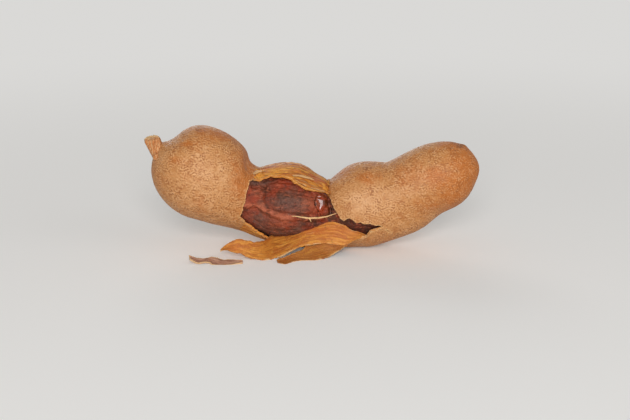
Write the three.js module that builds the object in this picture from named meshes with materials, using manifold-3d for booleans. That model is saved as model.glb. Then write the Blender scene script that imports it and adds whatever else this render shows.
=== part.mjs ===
// A tamarind pod of four lobes, lying on its belly. The shell of its second lobe is broken open at the
// front: the pulp shows in the hole, two flaps of shell are peeled down to the table under it, and a loose
// chip of shell lies beside them.
//
// Millimetres, +Z up. The pod's length runs along X, the stalk is at -X, and the break faces -Y.
// Z = 0 is the surface that the pod rests on.

import * as THREE from 'three';
import { mergeVertices } from 'three/addons/utils/BufferGeometryUtils.js';
import Module from 'manifold-3d';

const wasm = await Module();
wasm.setup();

const degrees = THREE.MathUtils.degToRad;
const at = (x, y, z) => new THREE.Vector3(x, y, z);

// ---------------------------------------------------------------- driving dimensions

const SHELL_WALL = 1.0; // thickness of the brittle shell
const PULP_GAP = 1.1; // the ripe pulp has shrunk this far away from the shell
const TOUCH_GAP = 0.3; // air kept between neighbours that touch
const FLATTENING = 0.95; // the pod's depth, front to back, over its height
const FORWARD_LEAN = degrees(10); // the pod leans forwards, on to its flaps
const BREAK_TILT = degrees(15); // the break faces forwards and this much upwards
const BELLY_REST = 0.35; // how far the belly is flattened where it rests
const LOBE_ROUNDNESS = 1.35; // 1 pinches the necks sharply, 2 makes lobes and necks alike

// The middle of the pod, from the stalk to the tip, and its radius there. Heights are measured up the
// leaning pod from the surface it rests on. Lobes and necks take turns between the two ends.
const STATIONS = [
  { part: 'stalk end', x: -47.2, height: 30.0, radius: 0 },
  { part: 'first lobe', x: -33.6, height: 23.6, radius: 14.0 },
  { part: 'first neck', x: -19.8, height: 15.2, radius: 10.1 },
  { part: 'second lobe', x: -6.4, height: 13.0, radius: 12.9 },
  { part: 'second neck', x: 4.2, height: 10.1, radius: 10.0 },
  { part: 'third lobe', x: 14.0, height: 13.0, radius: 12.9 },
  { part: 'third neck', x: 25.0, height: 15.3, radius: 11.5 },
  { part: 'fourth lobe', x: 34.0, height: 20.5, radius: 11.0 },
  { part: 'tip end', x: 48.0, height: 28.1, radius: 0 },
];

const SIDES = 32;
const CAP_RINGS = 6;
const BODY_RINGS = 32;

const TIP_NUB = { x: 43.6, height: 32.3, length: 0.9, radius: 0.9, lean: degrees(26) };
const STALK = { length: 5.3, rootRadius: 1.9, waistRadius: 1.5, endRadius: 2.2, lean: degrees(-16) };
const FIBRE_RADIUS = 0.28;
const FLAP_THICKNESS = 0.8;
const CHIP_THICKNESS = 0.8;

// The hole, as it is seen square to its own tilt: x, and height over the table. It starts at its upper
// left corner and goes round clockwise, through the crack that runs on into the third lobe.
const HOLE_TOP = [[-19.2, 19.4], [-15.9, 19.7], [-12.9, 20.7], [-9.3, 20.6], [-7.2, 19.8], [-5.1, 18.4],
  [-3.3, 17.0], [-0.9, 16.4], [3.3, 15.9]];
const HOLE_RIGHT = [[4.5, 14.0], [6.0, 10.7], [7.2, 8.3], [8.4, 7.4]];
const CRACK = [[10.2, 8.2], [12.0, 7.1], [15.0, 6.6], [17.7, 6.1], [20.6, 5.2], [18.3, 4.8], [16.4, 4.0],
  [15.3, 2.9]];
const HOLE_BOTTOM = [[11.1, 1.5], [9.0, 0.6], [-4.5, 0.9], [-13.5, 1.4]];
const HOLE_LEFT = [[-15.6, 3.2], [-18.0, 5.0], [-20.4, 6.8], [-22.5, 8.5], [-21.2, 10.4], [-20.4, 13.0],
  [-19.8, 16.2]];
const HOLE = [HOLE_TOP, HOLE_RIGHT, CRACK, HOLE_BOTTOM, HOLE_LEFT].flat();

// ---------------------------------------------------------------- the pod's own axes

const podUp = at(0, -Math.sin(FORWARD_LEAN), Math.cos(FORWARD_LEAN));
const podBack = at(0, Math.cos(FORWARD_LEAN), Math.sin(FORWARD_LEAN));
const breakUp = at(0, Math.sin(BREAK_TILT), Math.cos(BREAK_TILT));
const breakOut = at(0, -Math.cos(BREAK_TILT), Math.sin(BREAK_TILT));

// The pod tips forwards about the middle of its third lobe, which stays over the spot it rests on.
const PIVOT_HEIGHT = STATIONS.find(({ part }) => part === 'third lobe').radius - BELLY_REST;

function inPod(x, height) {
  return at(x, 0, PIVOT_HEIGHT).addScaledVector(podUp, height - BELLY_REST - PIVOT_HEIGHT);
}

const SPINE_STEPS = 24;
const spine = new THREE.CatmullRomCurve3(STATIONS.map(({ x, height }) => inPod(x, height)));
const spineLengths = spine.getLengths((STATIONS.length - 1) * SPINE_STEPS);
const spineLength = spineLengths.at(-1);
const rings = STATIONS.map(({ radius }, i) => ({ along: spineLengths[i * SPINE_STEPS], radius }));
const firstLobe = rings[1];
const lastLobe = rings.at(-2);

// The radius of the pod's skin between two lobes swells from the neck to the lobe.
function swelling(along) {
  const next = rings.findIndex((ring) => ring.along > along);
  const [a, b] = [rings[next - 1], rings[next]];
  const [neck, lobe] = a.radius < b.radius ? [a, b] : [b, a];
  const share = (along - neck.along) / (lobe.along - neck.along);
  return neck.radius + (lobe.radius - neck.radius) * Math.sin(share * Math.PI / 2) ** LOBE_ROUNDNESS;
}

// ---------------------------------------------------------------- solids

function solid(geometry) {
  const bare = geometry.clone();
  bare.deleteAttribute('normal');
  bare.deleteAttribute('uv');
  const merged = mergeVertices(bare);
  const triangles = [];
  for (let i = 0; i < merged.index.count; i += 3) {
    const corners = [0, 1, 2].map((k) => merged.index.getX(i + k));
    if (new Set(corners).size === 3) triangles.push(...corners);
  }
  const vertProperties = new Float32Array(merged.attributes.position.array);
  const triVerts = new Uint32Array(triangles);
  return new wasm.Manifold(new wasm.Mesh({ numProp: 3, vertProperties, triVerts }));
}

function shape(body) {
  const { vertProperties, triVerts } = body.getMesh();
  const geometry = new THREE.BufferGeometry();
  geometry.setAttribute('position', new THREE.BufferAttribute(vertProperties, 3));
  geometry.setIndex(new THREE.BufferAttribute(triVerts, 1));
  geometry.computeVertexNormals();
  return geometry;
}

function moveVertices(geometry, place) {
  const { position } = geometry.attributes;
  for (let i = 0; i < position.count; i += 1) {
    const moved = place(at(position.getX(i), position.getY(i), position.getZ(i)));
    position.setXYZ(i, moved.x, moved.y, moved.z);
  }
  return geometry;
}

// The place and direction of the spine at a given way along it. Past its ends it runs straight on.
function spineAt(along) {
  const inside = THREE.MathUtils.clamp(along / spineLength, 0, 1);
  const tangent = spine.getTangentAt(inside);
  const middle = spine.getPointAt(inside).addScaledVector(tangent, along - inside * spineLength);
  return { middle, tangent };
}

// A turned profile, round the Y axis, bent along the pod's spine. Its y is the way along the spine.
function bentAlongSpine(profile) {
  const turned = new THREE.LatheGeometry(profile, SIDES);
  turned.deleteAttribute('normal');
  turned.deleteAttribute('uv');
  return moveVertices(mergeVertices(turned), ({ x, y, z }) => {
    const { middle, tangent } = spineAt(y);
    const upwards = tangent.cross(podBack);
    return middle.addScaledVector(upwards, x).addScaledVector(podBack, z * FLATTENING);
  });
}

// The whole pod's outside, or the surface that lies a given depth under it.
function podSurface(depth) {
  const profile = [];
  const firstCap = firstLobe.along - depth;
  const lastCap = spineLength - lastLobe.along - depth;
  for (let i = 0; i < CAP_RINGS; i += 1) {
    const turn = (i / CAP_RINGS) * (Math.PI / 2);
    const radius = (firstLobe.radius - depth) * Math.sin(turn);
    profile.push(new THREE.Vector2(radius, firstLobe.along - firstCap * Math.cos(turn)));
  }
  for (let i = 0; i < BODY_RINGS; i += 1) {
    const along = THREE.MathUtils.lerp(firstLobe.along, lastLobe.along, i / BODY_RINGS);
    profile.push(new THREE.Vector2(swelling(along) - depth, along));
  }
  for (let i = 0; i <= CAP_RINGS; i += 1) {
    const turn = (1 - i / CAP_RINGS) * (Math.PI / 2);
    const radius = i === CAP_RINGS ? 0 : (lastLobe.radius - depth) * Math.sin(turn);
    profile.push(new THREE.Vector2(radius, lastLobe.along + lastCap * Math.cos(turn)));
  }
  return bentAlongSpine(profile);
}

const belowTable = solid(new THREE.BoxGeometry(200, 100, 20).translate(0, 0, -10));

// ---------------------------------------------------------------- shell

// The hole's outline, made smaller by a margin all round.
function holeOutline(margin) {
  const points = HOLE.map(([x, height]) => new THREE.Vector2(x, height));
  return points.map((point, i) => {
    const before = points.at(i - 1);
    const after = points[(i + 1) % points.length];
    const along = after.clone().sub(before).normalize();
    return point.clone().add(new THREE.Vector2(along.y, -along.x).multiplyScalar(margin));
  });
}

// Everything inside the outline of the hole, from near the middle of the pod out to the front.
function holeCutter(margin = 0) {
  const start = 4;
  const outline = new THREE.Shape(holeOutline(margin));
  return new THREE.ExtrudeGeometry(outline, { depth: 30, bevelEnabled: false, steps: 1 })
    .translate(0, 0, start)
    .rotateX(Math.PI / 2 - BREAK_TILT);
}

// A turned profile that stands on the pod at x and height, and leans from the pod's upright by an angle.
function stoodOnPod(profile, sides, { x, height, lean }) {
  const foot = inPod(x, height);
  return new THREE.LatheGeometry(profile.map(([width, along]) => new THREE.Vector2(width, along)), sides)
    .rotateX(Math.PI / 2)
    .rotateY(lean)
    .rotateX(FORWARD_LEAN)
    .translate(foot.x, foot.y, foot.z);
}

// The small dry point that the flower leaves at the far end of the pod.
function tipNub() {
  const { length, radius } = TIP_NUB;
  const profile = [[0, -2 * length], [1.5 * radius, -2 * length], [1.2 * radius, -0.4 * length],
    [radius, 0.4 * length], [0.7 * radius, 0.9 * length], [0, length]];
  return stoodOnPod(profile, 10, TIP_NUB);
}

function podShell() {
  return solid(podSurface(0))
    .add(solid(tipNub()))
    .subtract(solid(podSurface(SHELL_WALL)))
    .subtract(solid(holeCutter()))
    .subtract(belowTable);
}

// ---------------------------------------------------------------- pulp and fibre

const pulpDepth = SHELL_WALL + PULP_GAP;

function pulp() {
  return solid(podSurface(pulpDepth));
}

// A place on the surface that lies a given depth under the skin, seen at x and height through the hole.
function onPod(x, height, depth) {
  const near = spineLengths.map((along) => spineAt(along).middle);
  const nearest = near.reduce((best, p, i) => (Math.abs(p.x - x) < Math.abs(near[best].x - x) ? i : best), 0);
  const middle = near[nearest];
  const radius = swelling(spineLengths[nearest]) - depth;
  const rise = height - middle.dot(breakUp);
  const ray = (reach) => {
    const offset = breakUp.clone().multiplyScalar(rise).addScaledVector(breakOut, reach);
    return Math.hypot(offset.dot(podUp), offset.dot(podBack) / FLATTENING) - radius;
  };
  let [inside, outside] = [0, radius * 2];
  for (let i = 0; i < 30; i += 1) {
    const reach = (inside + outside) / 2;
    if (ray(reach) > 0) outside = reach;
    else inside = reach;
  }
  return at(x, middle.y, middle.z).addScaledVector(breakUp, rise).addScaledVector(breakOut, inside);
}

function strand(route) {
  const path = new THREE.CatmullRomCurve3(route);
  const round = new THREE.Shape().absarc(0, 0, FIBRE_RADIUS, 0, Math.PI * 2);
  const steps = route.length * 3;
  return new THREE.ExtrudeGeometry(round, { extrudePath: path, steps, curveSegments: 4, bevelEnabled: false });
}

// A vein of the pod that stays on the pulp when the shell comes away, with one short side branch.
function fibreStrand() {
  const depth = pulpDepth - FIBRE_RADIUS - 2 * TOUCH_GAP;
  const vein = [[-6.6, 8.9], [-4.0, 8.5], [-1.5, 8.2], [1.5, 8.5], [4.0, 9.0], [6.3, 9.6]];
  const branch = [[-1.9, 8.3], [-1.2, 7.6], [-0.6, 6.8]];
  return solid(strand(vein.map(([x, height]) => onPod(x, height, depth))))
    .add(solid(strand(branch.map(([x, height]) => onPod(x, height, depth)))));
}

// ---------------------------------------------------------------- stalk

// The woody stub that the pod hung by: it narrows at its waist and flares where it was torn off.
function stalk() {
  const { length, rootRadius, waistRadius, endRadius } = STALK;
  const sunk = 2.4;
  const profile = [[0, -sunk], [rootRadius * 1.2, -sunk], [rootRadius, 0.6], [waistRadius, length * 0.45],
    [waistRadius * 1.12, length * 0.7], [endRadius, length * 0.95], [endRadius * 0.85, length],
    [0, length * 0.9]];
  const { x, height } = STATIONS[0];
  const turned = stoodOnPod(profile, 18, { ...STALK, x, height });
  return solid(turned).subtract(solid(podSurface(-TOUCH_GAP)));
}

// ---------------------------------------------------------------- flaps and chip

// A thin curved sheet between two edges. Its middle sags below the straight line between the edges.
function sheet(nearEdge, farEdge, { sag, thickness, steps, across }) {
  const [near, far] = [nearEdge, farEdge].map((points) => new THREE.CatmullRomCurve3(points));
  const middle = (u, v) => near.getPoint(u)
    .lerp(far.getPoint(u), v)
    .add(at(0, 0, -sag * 4 * v * (1 - v)));
  const grid = new THREE.BoxGeometry(1, 1, 1, steps, across, 1);
  grid.deleteAttribute('normal');
  grid.deleteAttribute('uv');
  return moveVertices(mergeVertices(grid), ({ x, y, z }) => {
    const [u, v] = [x + 0.5, y + 0.5];
    const step = 0.02;
    const lengthwise = middle(Math.min(u + step, 1), v).sub(middle(Math.max(u - step, 0), v));
    const crosswise = middle(u, v + step).sub(middle(u, v - step));
    const upwards = lengthwise.cross(crosswise).normalize();
    return middle(u, v).addScaledVector(upwards, z * thickness);
  });
}

// The long flap: its tongue points to the left, clear of the table at its tip, and its root runs up
// the front of the pulp to the crack.
function longFlap() {
  const near = [at(-28.3, -14.8, 2.9), at(-23.7, -15.2, 1.9), at(-19.5, -16.2, 0.8), at(-15.9, -17.0, 0.4),
    at(-12.3, -16.0, 0.9), at(-8.7, -14.6, 1.9), at(-4.5, -13.6, 2.8), at(0.0, -12.6, 3.3), at(4.5, -12.0, 3.5),
    at(9.0, -11.2, 3.6), at(12.6, -11.6, 3.6)];
  const far = [at(-27.6, -13.6, 3.2), at(-22.8, -11.0, 5.4), at(-18.9, -10.6, 4.0), at(-15.6, -10.6, 4.3),
    at(-12.4, -9.8, 5.6), at(-7.5, -9.4, 6.4), at(-2.4, -9.4, 7.5), at(2.0, -8.6, 8.2), at(6.0, -8.8, 8.6),
    at(10.0, -10.4, 8.3), at(15.0, -11.6, 5.6)];
  return sheet(near, far, { sag: 0.5, thickness: FLAP_THICKNESS, steps: 40, across: 6 });
}

// The short flap lies under the long one, flat on the table along its front edge.
function shortFlap() {
  const near = [at(-11.0, -18.2, 0.7), at(-8.1, -19.0, 0.4), at(-4.5, -17.2, 0.3), at(-1.0, -16.2, 0.3),
    at(2.5, -14.8, 0.4), at(6.0, -12.2, 0.8), at(9.0, -9.8, 2.0)];
  const far = [at(-10.8, -16.6, 0.8), at(-7.5, -14.2, 1.1), at(-4.5, -12.8, 1.3), at(-1.0, -12.0, 1.6),
    at(2.5, -11.2, 1.9), at(6.0, -10.0, 2.2), at(9.0, -8.6, 2.6)];
  return sheet(near, far, { sag: 0.2, thickness: FLAP_THICKNESS, steps: 24, across: 4 });
}

// A loose sliver of shell, wavy along its length.
function shellChip() {
  const near = [at(-36.8, -18.4, 0.9), at(-34.6, -20.0, 0.4), at(-32.4, -20.0, 0.5), at(-30.4, -20.2, 0.8),
    at(-28.2, -21.2, 0.4), at(-25.2, -20.4, 0.4), at(-22.0, -19.4, 0.5)];
  const far = [at(-36.6, -17.4, 1.5), at(-34.2, -17.8, 1.0), at(-32.0, -17.8, 1.0), at(-30.0, -17.2, 1.4),
    at(-28.0, -17.4, 1.2), at(-25.0, -18.4, 0.7), at(-22.0, -18.4, 0.6)];
  return sheet(near, far, { sag: 0.3, thickness: CHIP_THICKNESS, steps: 24, across: 4 });
}

// A piece of loose shell reaches into the hole only, and stays clear of the shell and the pulp.
function restingSheet(geometry) {
  const shellRoom = solid(podSurface(-TOUCH_GAP)).subtract(solid(holeCutter(TOUCH_GAP)));
  const pulpRoom = solid(podSurface(pulpDepth - TOUCH_GAP));
  return solid(geometry).subtract(shellRoom).subtract(pulpRoom).subtract(belowTable);
}

// ---------------------------------------------------------------- assembly

const finishes = {
  skin: { color: 0xc89664, roughness: 0.75, metalness: 0 },
  wood: { color: 0xb98a5e, roughness: 0.85, metalness: 0 },
  pulp: { color: 0x7c3f28, roughness: 0.35, metalness: 0 },
  fibre: { color: 0xd8b080, roughness: 0.6, metalness: 0 },
  lining: { color: 0xd08c40, roughness: 0.55, metalness: 0 },
};

const pieces = {
  pod_shell: [podShell(), finishes.skin],
  stalk: [stalk(), finishes.wood],
  pulp: [pulp(), finishes.pulp],
  fibre_strand: [fibreStrand(), finishes.fibre],
  shell_flap_long: [restingSheet(longFlap()), finishes.lining],
  shell_flap_short: [restingSheet(shortFlap()), finishes.lining],
  shell_chip: [restingSheet(shellChip()), finishes.skin],
};

const pod = new THREE.Group();
for (const [name, [body, finish]] of Object.entries(pieces)) {
  const mesh = new THREE.Mesh(shape(body), new THREE.MeshStandardMaterial(finish));
  mesh.name = name;
  pod.add(mesh);
}

// The origin is on the table, under the middle of the whole pod's outline.
const outline = new THREE.Box3().setFromObject(pod);
const centre = outline.getCenter(new THREE.Vector3());
pod.position.set(-centre.x, -centre.y, -outline.min.z);
pod.updateMatrixWorld(true);

export default pod;
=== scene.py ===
"""A tamarind pod of four lobes, broken open at the front of its second lobe.

It is laid out as an add-on: each operator models one piece of the pod round the loaded frame, and the last
one sets the stage. All lengths are metres, the pod lies along X and the break faces -Y.
"""

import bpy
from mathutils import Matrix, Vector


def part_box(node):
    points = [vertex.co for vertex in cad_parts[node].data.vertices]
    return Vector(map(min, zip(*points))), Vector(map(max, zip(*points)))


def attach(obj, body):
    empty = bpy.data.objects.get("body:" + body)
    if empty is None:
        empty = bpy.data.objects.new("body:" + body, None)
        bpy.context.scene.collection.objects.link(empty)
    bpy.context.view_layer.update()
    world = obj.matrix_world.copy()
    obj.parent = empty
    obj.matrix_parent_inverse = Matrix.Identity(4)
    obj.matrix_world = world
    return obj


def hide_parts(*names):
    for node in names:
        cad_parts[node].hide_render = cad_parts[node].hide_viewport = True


bl_info = {
    "name": "Tamarind pod",
    "version": (1, 0, 0),
    "blender": (4, 5, 0),
    "location": "3D View > Sidebar > Tamarind",
    "description": "Models a broken tamarind pod: shell, pulp, vein, stalk, flaps and a loose chip",
    "category": "Add Mesh",
}

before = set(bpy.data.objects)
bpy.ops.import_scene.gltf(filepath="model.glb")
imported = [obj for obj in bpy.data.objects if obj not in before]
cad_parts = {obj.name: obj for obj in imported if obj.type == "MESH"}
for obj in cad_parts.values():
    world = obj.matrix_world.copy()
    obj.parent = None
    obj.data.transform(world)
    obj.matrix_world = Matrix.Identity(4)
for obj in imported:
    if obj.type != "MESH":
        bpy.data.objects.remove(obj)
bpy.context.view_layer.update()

import math

import bmesh
import bpy
import numpy as np
from mathutils import Vector, kdtree, noise
from mathutils.bvhtree import BVHTree

MM = 0.001

# ---------------------------------------------------------------- the pod's driving dimensions

FLATTENING = 0.95  # the pod's depth, front to back, over its height
FORWARD_LEAN = math.radians(10)
BREAK_TILT = math.radians(15)  # the break faces forwards and this much upwards
BELLY_REST = 0.35 * MM
LOBE_ROUNDNESS = 1.35
PULP_DEPTH = 2.1 * MM  # how deep the frame's plain pulp lies under the skin

# How finely a body of the pod is drawn out: its sides, the rings of each end cap, and the rings between them.
PLAIN_PULP_RINGS = (32, 6, 32)
SKIN_RINGS = (56, 12, 58)
CAVITY_RINGS = (48, 8, 44)
PULP_RINGS = (48, 6, 44)

# The middle of the pod and its radius there, in millimetres: x, height up the pod, radius.
STALK_END = (-47.2, 30.0, 0.0)
LOBES_AND_NECKS = (
    (-33.6, 23.6, 14.0),
    (-19.8, 15.2, 10.1),
    (-6.4, 13.0, 12.9),
    (4.2, 10.1, 10.0),
    (14.0, 13.0, 12.9),
    (25.0, 15.3, 11.5),
    (34.0, 20.5, 11.0),
)
TIP_END = (48.0, 28.1, 0.0)
STATIONS = np.array([STALK_END, *LOBES_AND_NECKS, TIP_END]) * MM
THIRD_LOBE = 5  # its place in the list of stations
PIVOT_HEIGHT = STATIONS[THIRD_LOBE, 2] - BELLY_REST
SPINE_STEPS = 100  # from each station to the next

# The hole, seen square to its own tilt, in millimetres: x, height over the table.
HOLE_TOP = ((-19.2, 19.4), (-15.9, 19.7), (-12.9, 20.7), (-9.3, 20.6), (-7.2, 19.8), (-5.1, 18.4),
            (-3.3, 17.0), (-0.9, 16.4), (3.3, 15.9))
HOLE_RIGHT = ((4.5, 14.0), (6.0, 10.7), (7.2, 8.3), (8.4, 7.4))
CRACK = ((10.2, 8.2), (12.0, 7.1), (15.0, 6.6), (17.7, 6.1), (20.4, 5.3), (22.6, 3.9), (22.4, 3.8),
         (20.2, 5.0), (18.3, 4.8), (16.4, 4.0), (15.3, 2.9))
HOLE_BOTTOM = ((11.1, 1.5), (9.0, 0.6), (-4.5, 0.9), (-13.5, 1.4))
HOLE_LEFT = ((-15.6, 3.2), (-18.0, 5.0), (-20.4, 6.8), (-22.5, 8.5), (-21.2, 10.4), (-20.4, 13.0),
             (-19.8, 16.2))
HOLE = HOLE_TOP + HOLE_RIGHT + CRACK + HOLE_BOTTOM + HOLE_LEFT

BREAK_UP = Vector((0, math.sin(BREAK_TILT), math.cos(BREAK_TILT)))
BREAK_OUT = Vector((0, -math.cos(BREAK_TILT), math.sin(BREAK_TILT)))
CLEAR_OF_POD = 40 * MM  # further from the pod's middle than any of its skin
UNDERSIDE_REACH = 6 * MM  # how far in front of the pod's middle the hole ends underneath

CAMERA_DISTANCE = 446 * MM
CAMERA_HEIGHT = 11.04 * MM  # what the camera looks at, over the table
CAMERA_ELEVATION = math.radians(15)
CAMERA_LENS = 85

# ---------------------------------------------------------------- the pod's own curve


def smooth_curve(points, steps):
    """A smooth curve through the points, with this many steps from each to the next."""
    p = [np.array(q, float) for q in points]
    p = [2 * p[0] - p[1], *p, 2 * p[-1] - p[-2]]
    t = np.linspace(0, 1, steps, endpoint=False)[:, None]
    laid = []
    for a, b, c, d in zip(p, p[1:], p[2:], p[3:]):
        ab, bc, cd = (np.linalg.norm(v) ** 0.5 for v in (b - a, c - b, d - c))
        leaving = ((b - a) / ab - (c - a) / (ab + bc) + (c - b) / bc) * bc
        arriving = ((c - b) / bc - (d - b) / (bc + cd) + (d - c) / cd) * bc
        laid.append(b * (2 * t**3 - 3 * t**2 + 1) + leaving * (t**3 - 2 * t**2 + t)
                    + c * (3 * t**2 - 2 * t**3) + arriving * (t**3 - t**2))
    return np.concatenate([*laid, p[-2][None]])


SPINE = smooth_curve(STATIONS[:, :2] - (0, BELLY_REST), SPINE_STEPS)
STEPS_ALONG = np.linalg.norm(np.diff(SPINE, axis=0), axis=1)
ALONG = np.concatenate([[0], np.cumsum(STEPS_ALONG)])
STATION_ALONG = ALONG[::SPINE_STEPS]
FIRST_LOBE, LAST_LOBE = STATION_ALONG[1], STATION_ALONG[-2]


def spine_at(along):
    """The spine's x and height this far along it, and the angle that its direction makes with upright."""
    inside = min(max(along, 0), ALONG[-1])
    x, height = (np.interp(inside, ALONG, SPINE[:, k]) for k in (0, 1))
    i = min(max(np.searchsorted(ALONG, inside), 1), len(SPINE) - 1)
    dx, dh = (SPINE[i] - SPINE[i - 1]) / (ALONG[i] - ALONG[i - 1])
    return x + dx * (along - inside), height + dh * (along - inside), math.atan2(dx, dh)


def swelling(along):
    """The skin's radius between the first lobe and the last, which swells from each neck to its lobe."""
    i = min(np.searchsorted(STATION_ALONG, along, side="right"), len(STATION_ALONG) - 2)
    (a, ra), (b, rb) = ((STATION_ALONG[k], STATIONS[k, 2]) for k in (i - 1, i))
    neck, neck_radius, lobe, lobe_radius = (a, ra, b, rb) if ra < rb else (b, rb, a, ra)
    share = (along - neck) / (lobe - neck)
    return neck_radius + (lobe_radius - neck_radius) * math.sin(share * math.pi / 2) ** LOBE_ROUNDNESS


def ring_table(depth, cap_rings, body_rings):
    """The way along and the radius of each ring of the surface that lies this deep, from pole to pole."""
    rings = []
    first_radius, last_radius = STATIONS[1, 2] - depth, STATIONS[-2, 2] - depth
    first_cap, last_cap = FIRST_LOBE - depth, ALONG[-1] - LAST_LOBE - depth
    for i in range(cap_rings):
        turn = i / cap_rings * math.pi / 2
        rings.append((FIRST_LOBE - first_cap * math.cos(turn), first_radius * math.sin(turn)))
    for i in range(body_rings):
        along = FIRST_LOBE + (LAST_LOBE - FIRST_LOBE) * i / body_rings
        rings.append((along, swelling(along) - depth))
    for i in range(cap_rings + 1):
        turn = (1 - i / cap_rings) * math.pi / 2
        rings.append((LAST_LOBE + last_cap * math.cos(turn), last_radius * math.sin(turn)))
    return rings


def lean(upright):
    """Points of the upright pod, leaned forwards about the middle of its third lobe."""
    p = np.array(upright, float)
    y, z = p[..., 1].copy(), p[..., 2] - PIVOT_HEIGHT
    p[..., 1] = y * math.cos(FORWARD_LEAN) - z * math.sin(FORWARD_LEAN)
    p[..., 2] = y * math.sin(FORWARD_LEAN) + z * math.cos(FORWARD_LEAN) + PIVOT_HEIGHT
    return p


def plain_pulp_corner():
    """The lowest corner of the plain pulp before it is moved to its place in the frame."""
    points = []
    sides, cap_rings, body_rings = PLAIN_PULP_RINGS
    for along, radius in ring_table(PULP_DEPTH, cap_rings, body_rings):
        x, height, turn = spine_at(along)
        for side in range(sides):
            angle = side / sides * 2 * math.pi
            up, back = math.sin(angle) * radius, math.cos(angle) * radius * FLATTENING
            points.append((x - math.cos(turn) * up, back, height + math.sin(turn) * up))
    return lean(points).min(axis=0)


POD_PLACE = Vector(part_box("pulp")[0]) - Vector(plain_pulp_corner())
POD_PLACE.z = 0


# ---------------------------------------------------------------- modelling helpers


def pick_nothing():
    """Leaves edit mode and deselects everything."""
    if bpy.context.mode != "OBJECT":
        bpy.ops.object.mode_set(mode="OBJECT")
    bpy.ops.object.select_all(action="DESELECT")


def pick(piece):
    """Selects one piece, and nothing else."""
    pick_nothing()
    piece.select_set(True)
    bpy.context.view_layer.objects.active = piece


def named(name):
    """Names the primitive that was just added, and its mesh."""
    piece = bpy.context.object
    piece.name = piece.data.name = name
    return piece


def settle(piece):
    """Puts a piece's place into its mesh."""
    pick(piece)
    bpy.ops.object.transform_apply(location=True, rotation=True, scale=True)


def modify(piece, kind, **settings):
    """Adds one modifier and applies it."""
    pick(piece)
    bpy.ops.object.modifier_add(type=kind)
    modifier = piece.modifiers[-1]
    for name, value in settings.items():
        setattr(modifier, name, value)
    bpy.ops.object.modifier_apply(modifier=modifier.name)


def subdivide(piece, levels):
    """Rounds a piece off by splitting its faces this many times."""
    modify(piece, "SUBSURF", levels=levels, render_levels=levels)


def cut_away(piece, tool):
    """Takes one closed body out of another, and clears the tool away."""
    modify(piece, "BOOLEAN", operation="DIFFERENCE", solver="MANIFOLD", material_mode="INDEX", object=tool)
    bpy.data.objects.remove(tool)


def points_of(piece):
    """A piece's points, one to a row, in metres."""
    flat = np.empty(len(piece.data.vertices) * 3, np.float32)
    piece.data.vertices.foreach_get("co", flat)
    return flat.reshape(-1, 3).astype(float)


def put_points(piece, points):
    """Moves a piece's points to these places."""
    piece.data.vertices.foreach_set("co", np.asarray(points, np.float32).ravel())
    piece.data.update()


def emboss(piece, offsets):
    """Raises a piece's surface by an amount for each vertex, in metres: a negative one lowers it."""
    for way in (1, -1):
        amounts = np.maximum(way * offsets, 0)
        most = float(amounts.max())
        if most < 1e-7:
            continue
        group = piece.vertex_groups.new(name="moved")
        for i in np.nonzero(amounts > most * 1e-4)[0].tolist():
            group.add((i,), float(amounts[i] / most), "REPLACE")
        modify(piece, "DISPLACE", strength=way * most, mid_level=0, vertex_group="moved")
        piece.vertex_groups.remove(piece.vertex_groups["moved"])


def roughen(piece, name, size, height, kind="CLOUDS", **pattern):
    """Raises and lowers a piece's surface by a solid pattern of a given size."""
    texture = bpy.data.textures.new(name, type=kind)
    texture.noise_scale = size
    for key, value in pattern.items():
        setattr(texture, key, value)
    modify(piece, "DISPLACE", texture=texture, texture_coords="LOCAL", strength=height)
    bpy.data.textures.remove(texture)


def write_values(piece, name, values):
    """Keeps a number for each vertex, for the materials to read."""
    kept = piece.data.attributes.new(name, "FLOAT", "POINT")
    kept.data.foreach_set("value", np.asarray(values, np.float32))


def write_places(piece, name, places):
    """Keeps three numbers for each vertex, in the same way."""
    kept = piece.data.attributes.new(name, "FLOAT_VECTOR", "POINT")
    kept.data.foreach_set("vector", np.asarray(places, np.float32).ravel())


def smooth_step(values, start, end):
    """0 before the start, 1 past the end, and a soft slope between them. The end may be the lower one."""
    t = np.clip((np.asarray(values, float) - start) / (end - start), 0, 1)
    return t * t * (3 - 2 * t)


def noise_at(points, size, seed=0.0, octaves=2):
    """A smooth random number from about -1 to 1 at each point."""
    shift = Vector((seed, seed * 1.7, seed * 0.3))
    return np.array([noise.fractal(Vector(p) / size + shift, 1.0, 2.0, octaves) for p in points])


def join(piece, *others):
    """Joins other pieces to the first."""
    pick(piece)
    for other in others:
        other.select_set(True)
    bpy.ops.object.join()


def finish_piece(piece, body_slot, *nodes, angle=40):
    """Smooths a piece, save for edges sharper than this, hangs it on the frame's root and hides the frame's
    parts that it replaces.
    """
    pick(piece)
    bpy.ops.object.shade_smooth_by_angle(angle=math.radians(angle))
    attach(piece, "root")
    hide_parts(*nodes)


def carry(piece, *finishes):
    """Gives a piece its materials, in the order of its faces' material numbers."""
    piece.data.materials.clear()
    for material in finishes:
        piece.data.materials.append(material)


# ---------------------------------------------------------------- the pod's body

# Where the skin swells or sinks from its plain round shape, as seen square to the break, in millimetres:
# x and height of the middle, half length, half height, how far it is raised.
SWELLINGS = (
    (-42.6, 33.8, 5.2, 5.0, -1.7),
    (-18.7, 24.6, 1.8, 3.4, -1.5),
    (-46.4, 30.4, 1.7, 1.7, 1.0),
    (0.4, 22.4, 3.6, 3.0, -1.3),
    (6.9, 21.8, 3.8, 3.0, -0.95),
    (48.4, 27.6, 3.2, 3.2, -0.4),
    (47.6, 18.4, 4.0, 4.6, -0.6),
    (36.5, 8.8, 12.0, 3.6, -1.0),
    (44.5, 30.5, 0.9, 1.0, 1.0),
)
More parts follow.
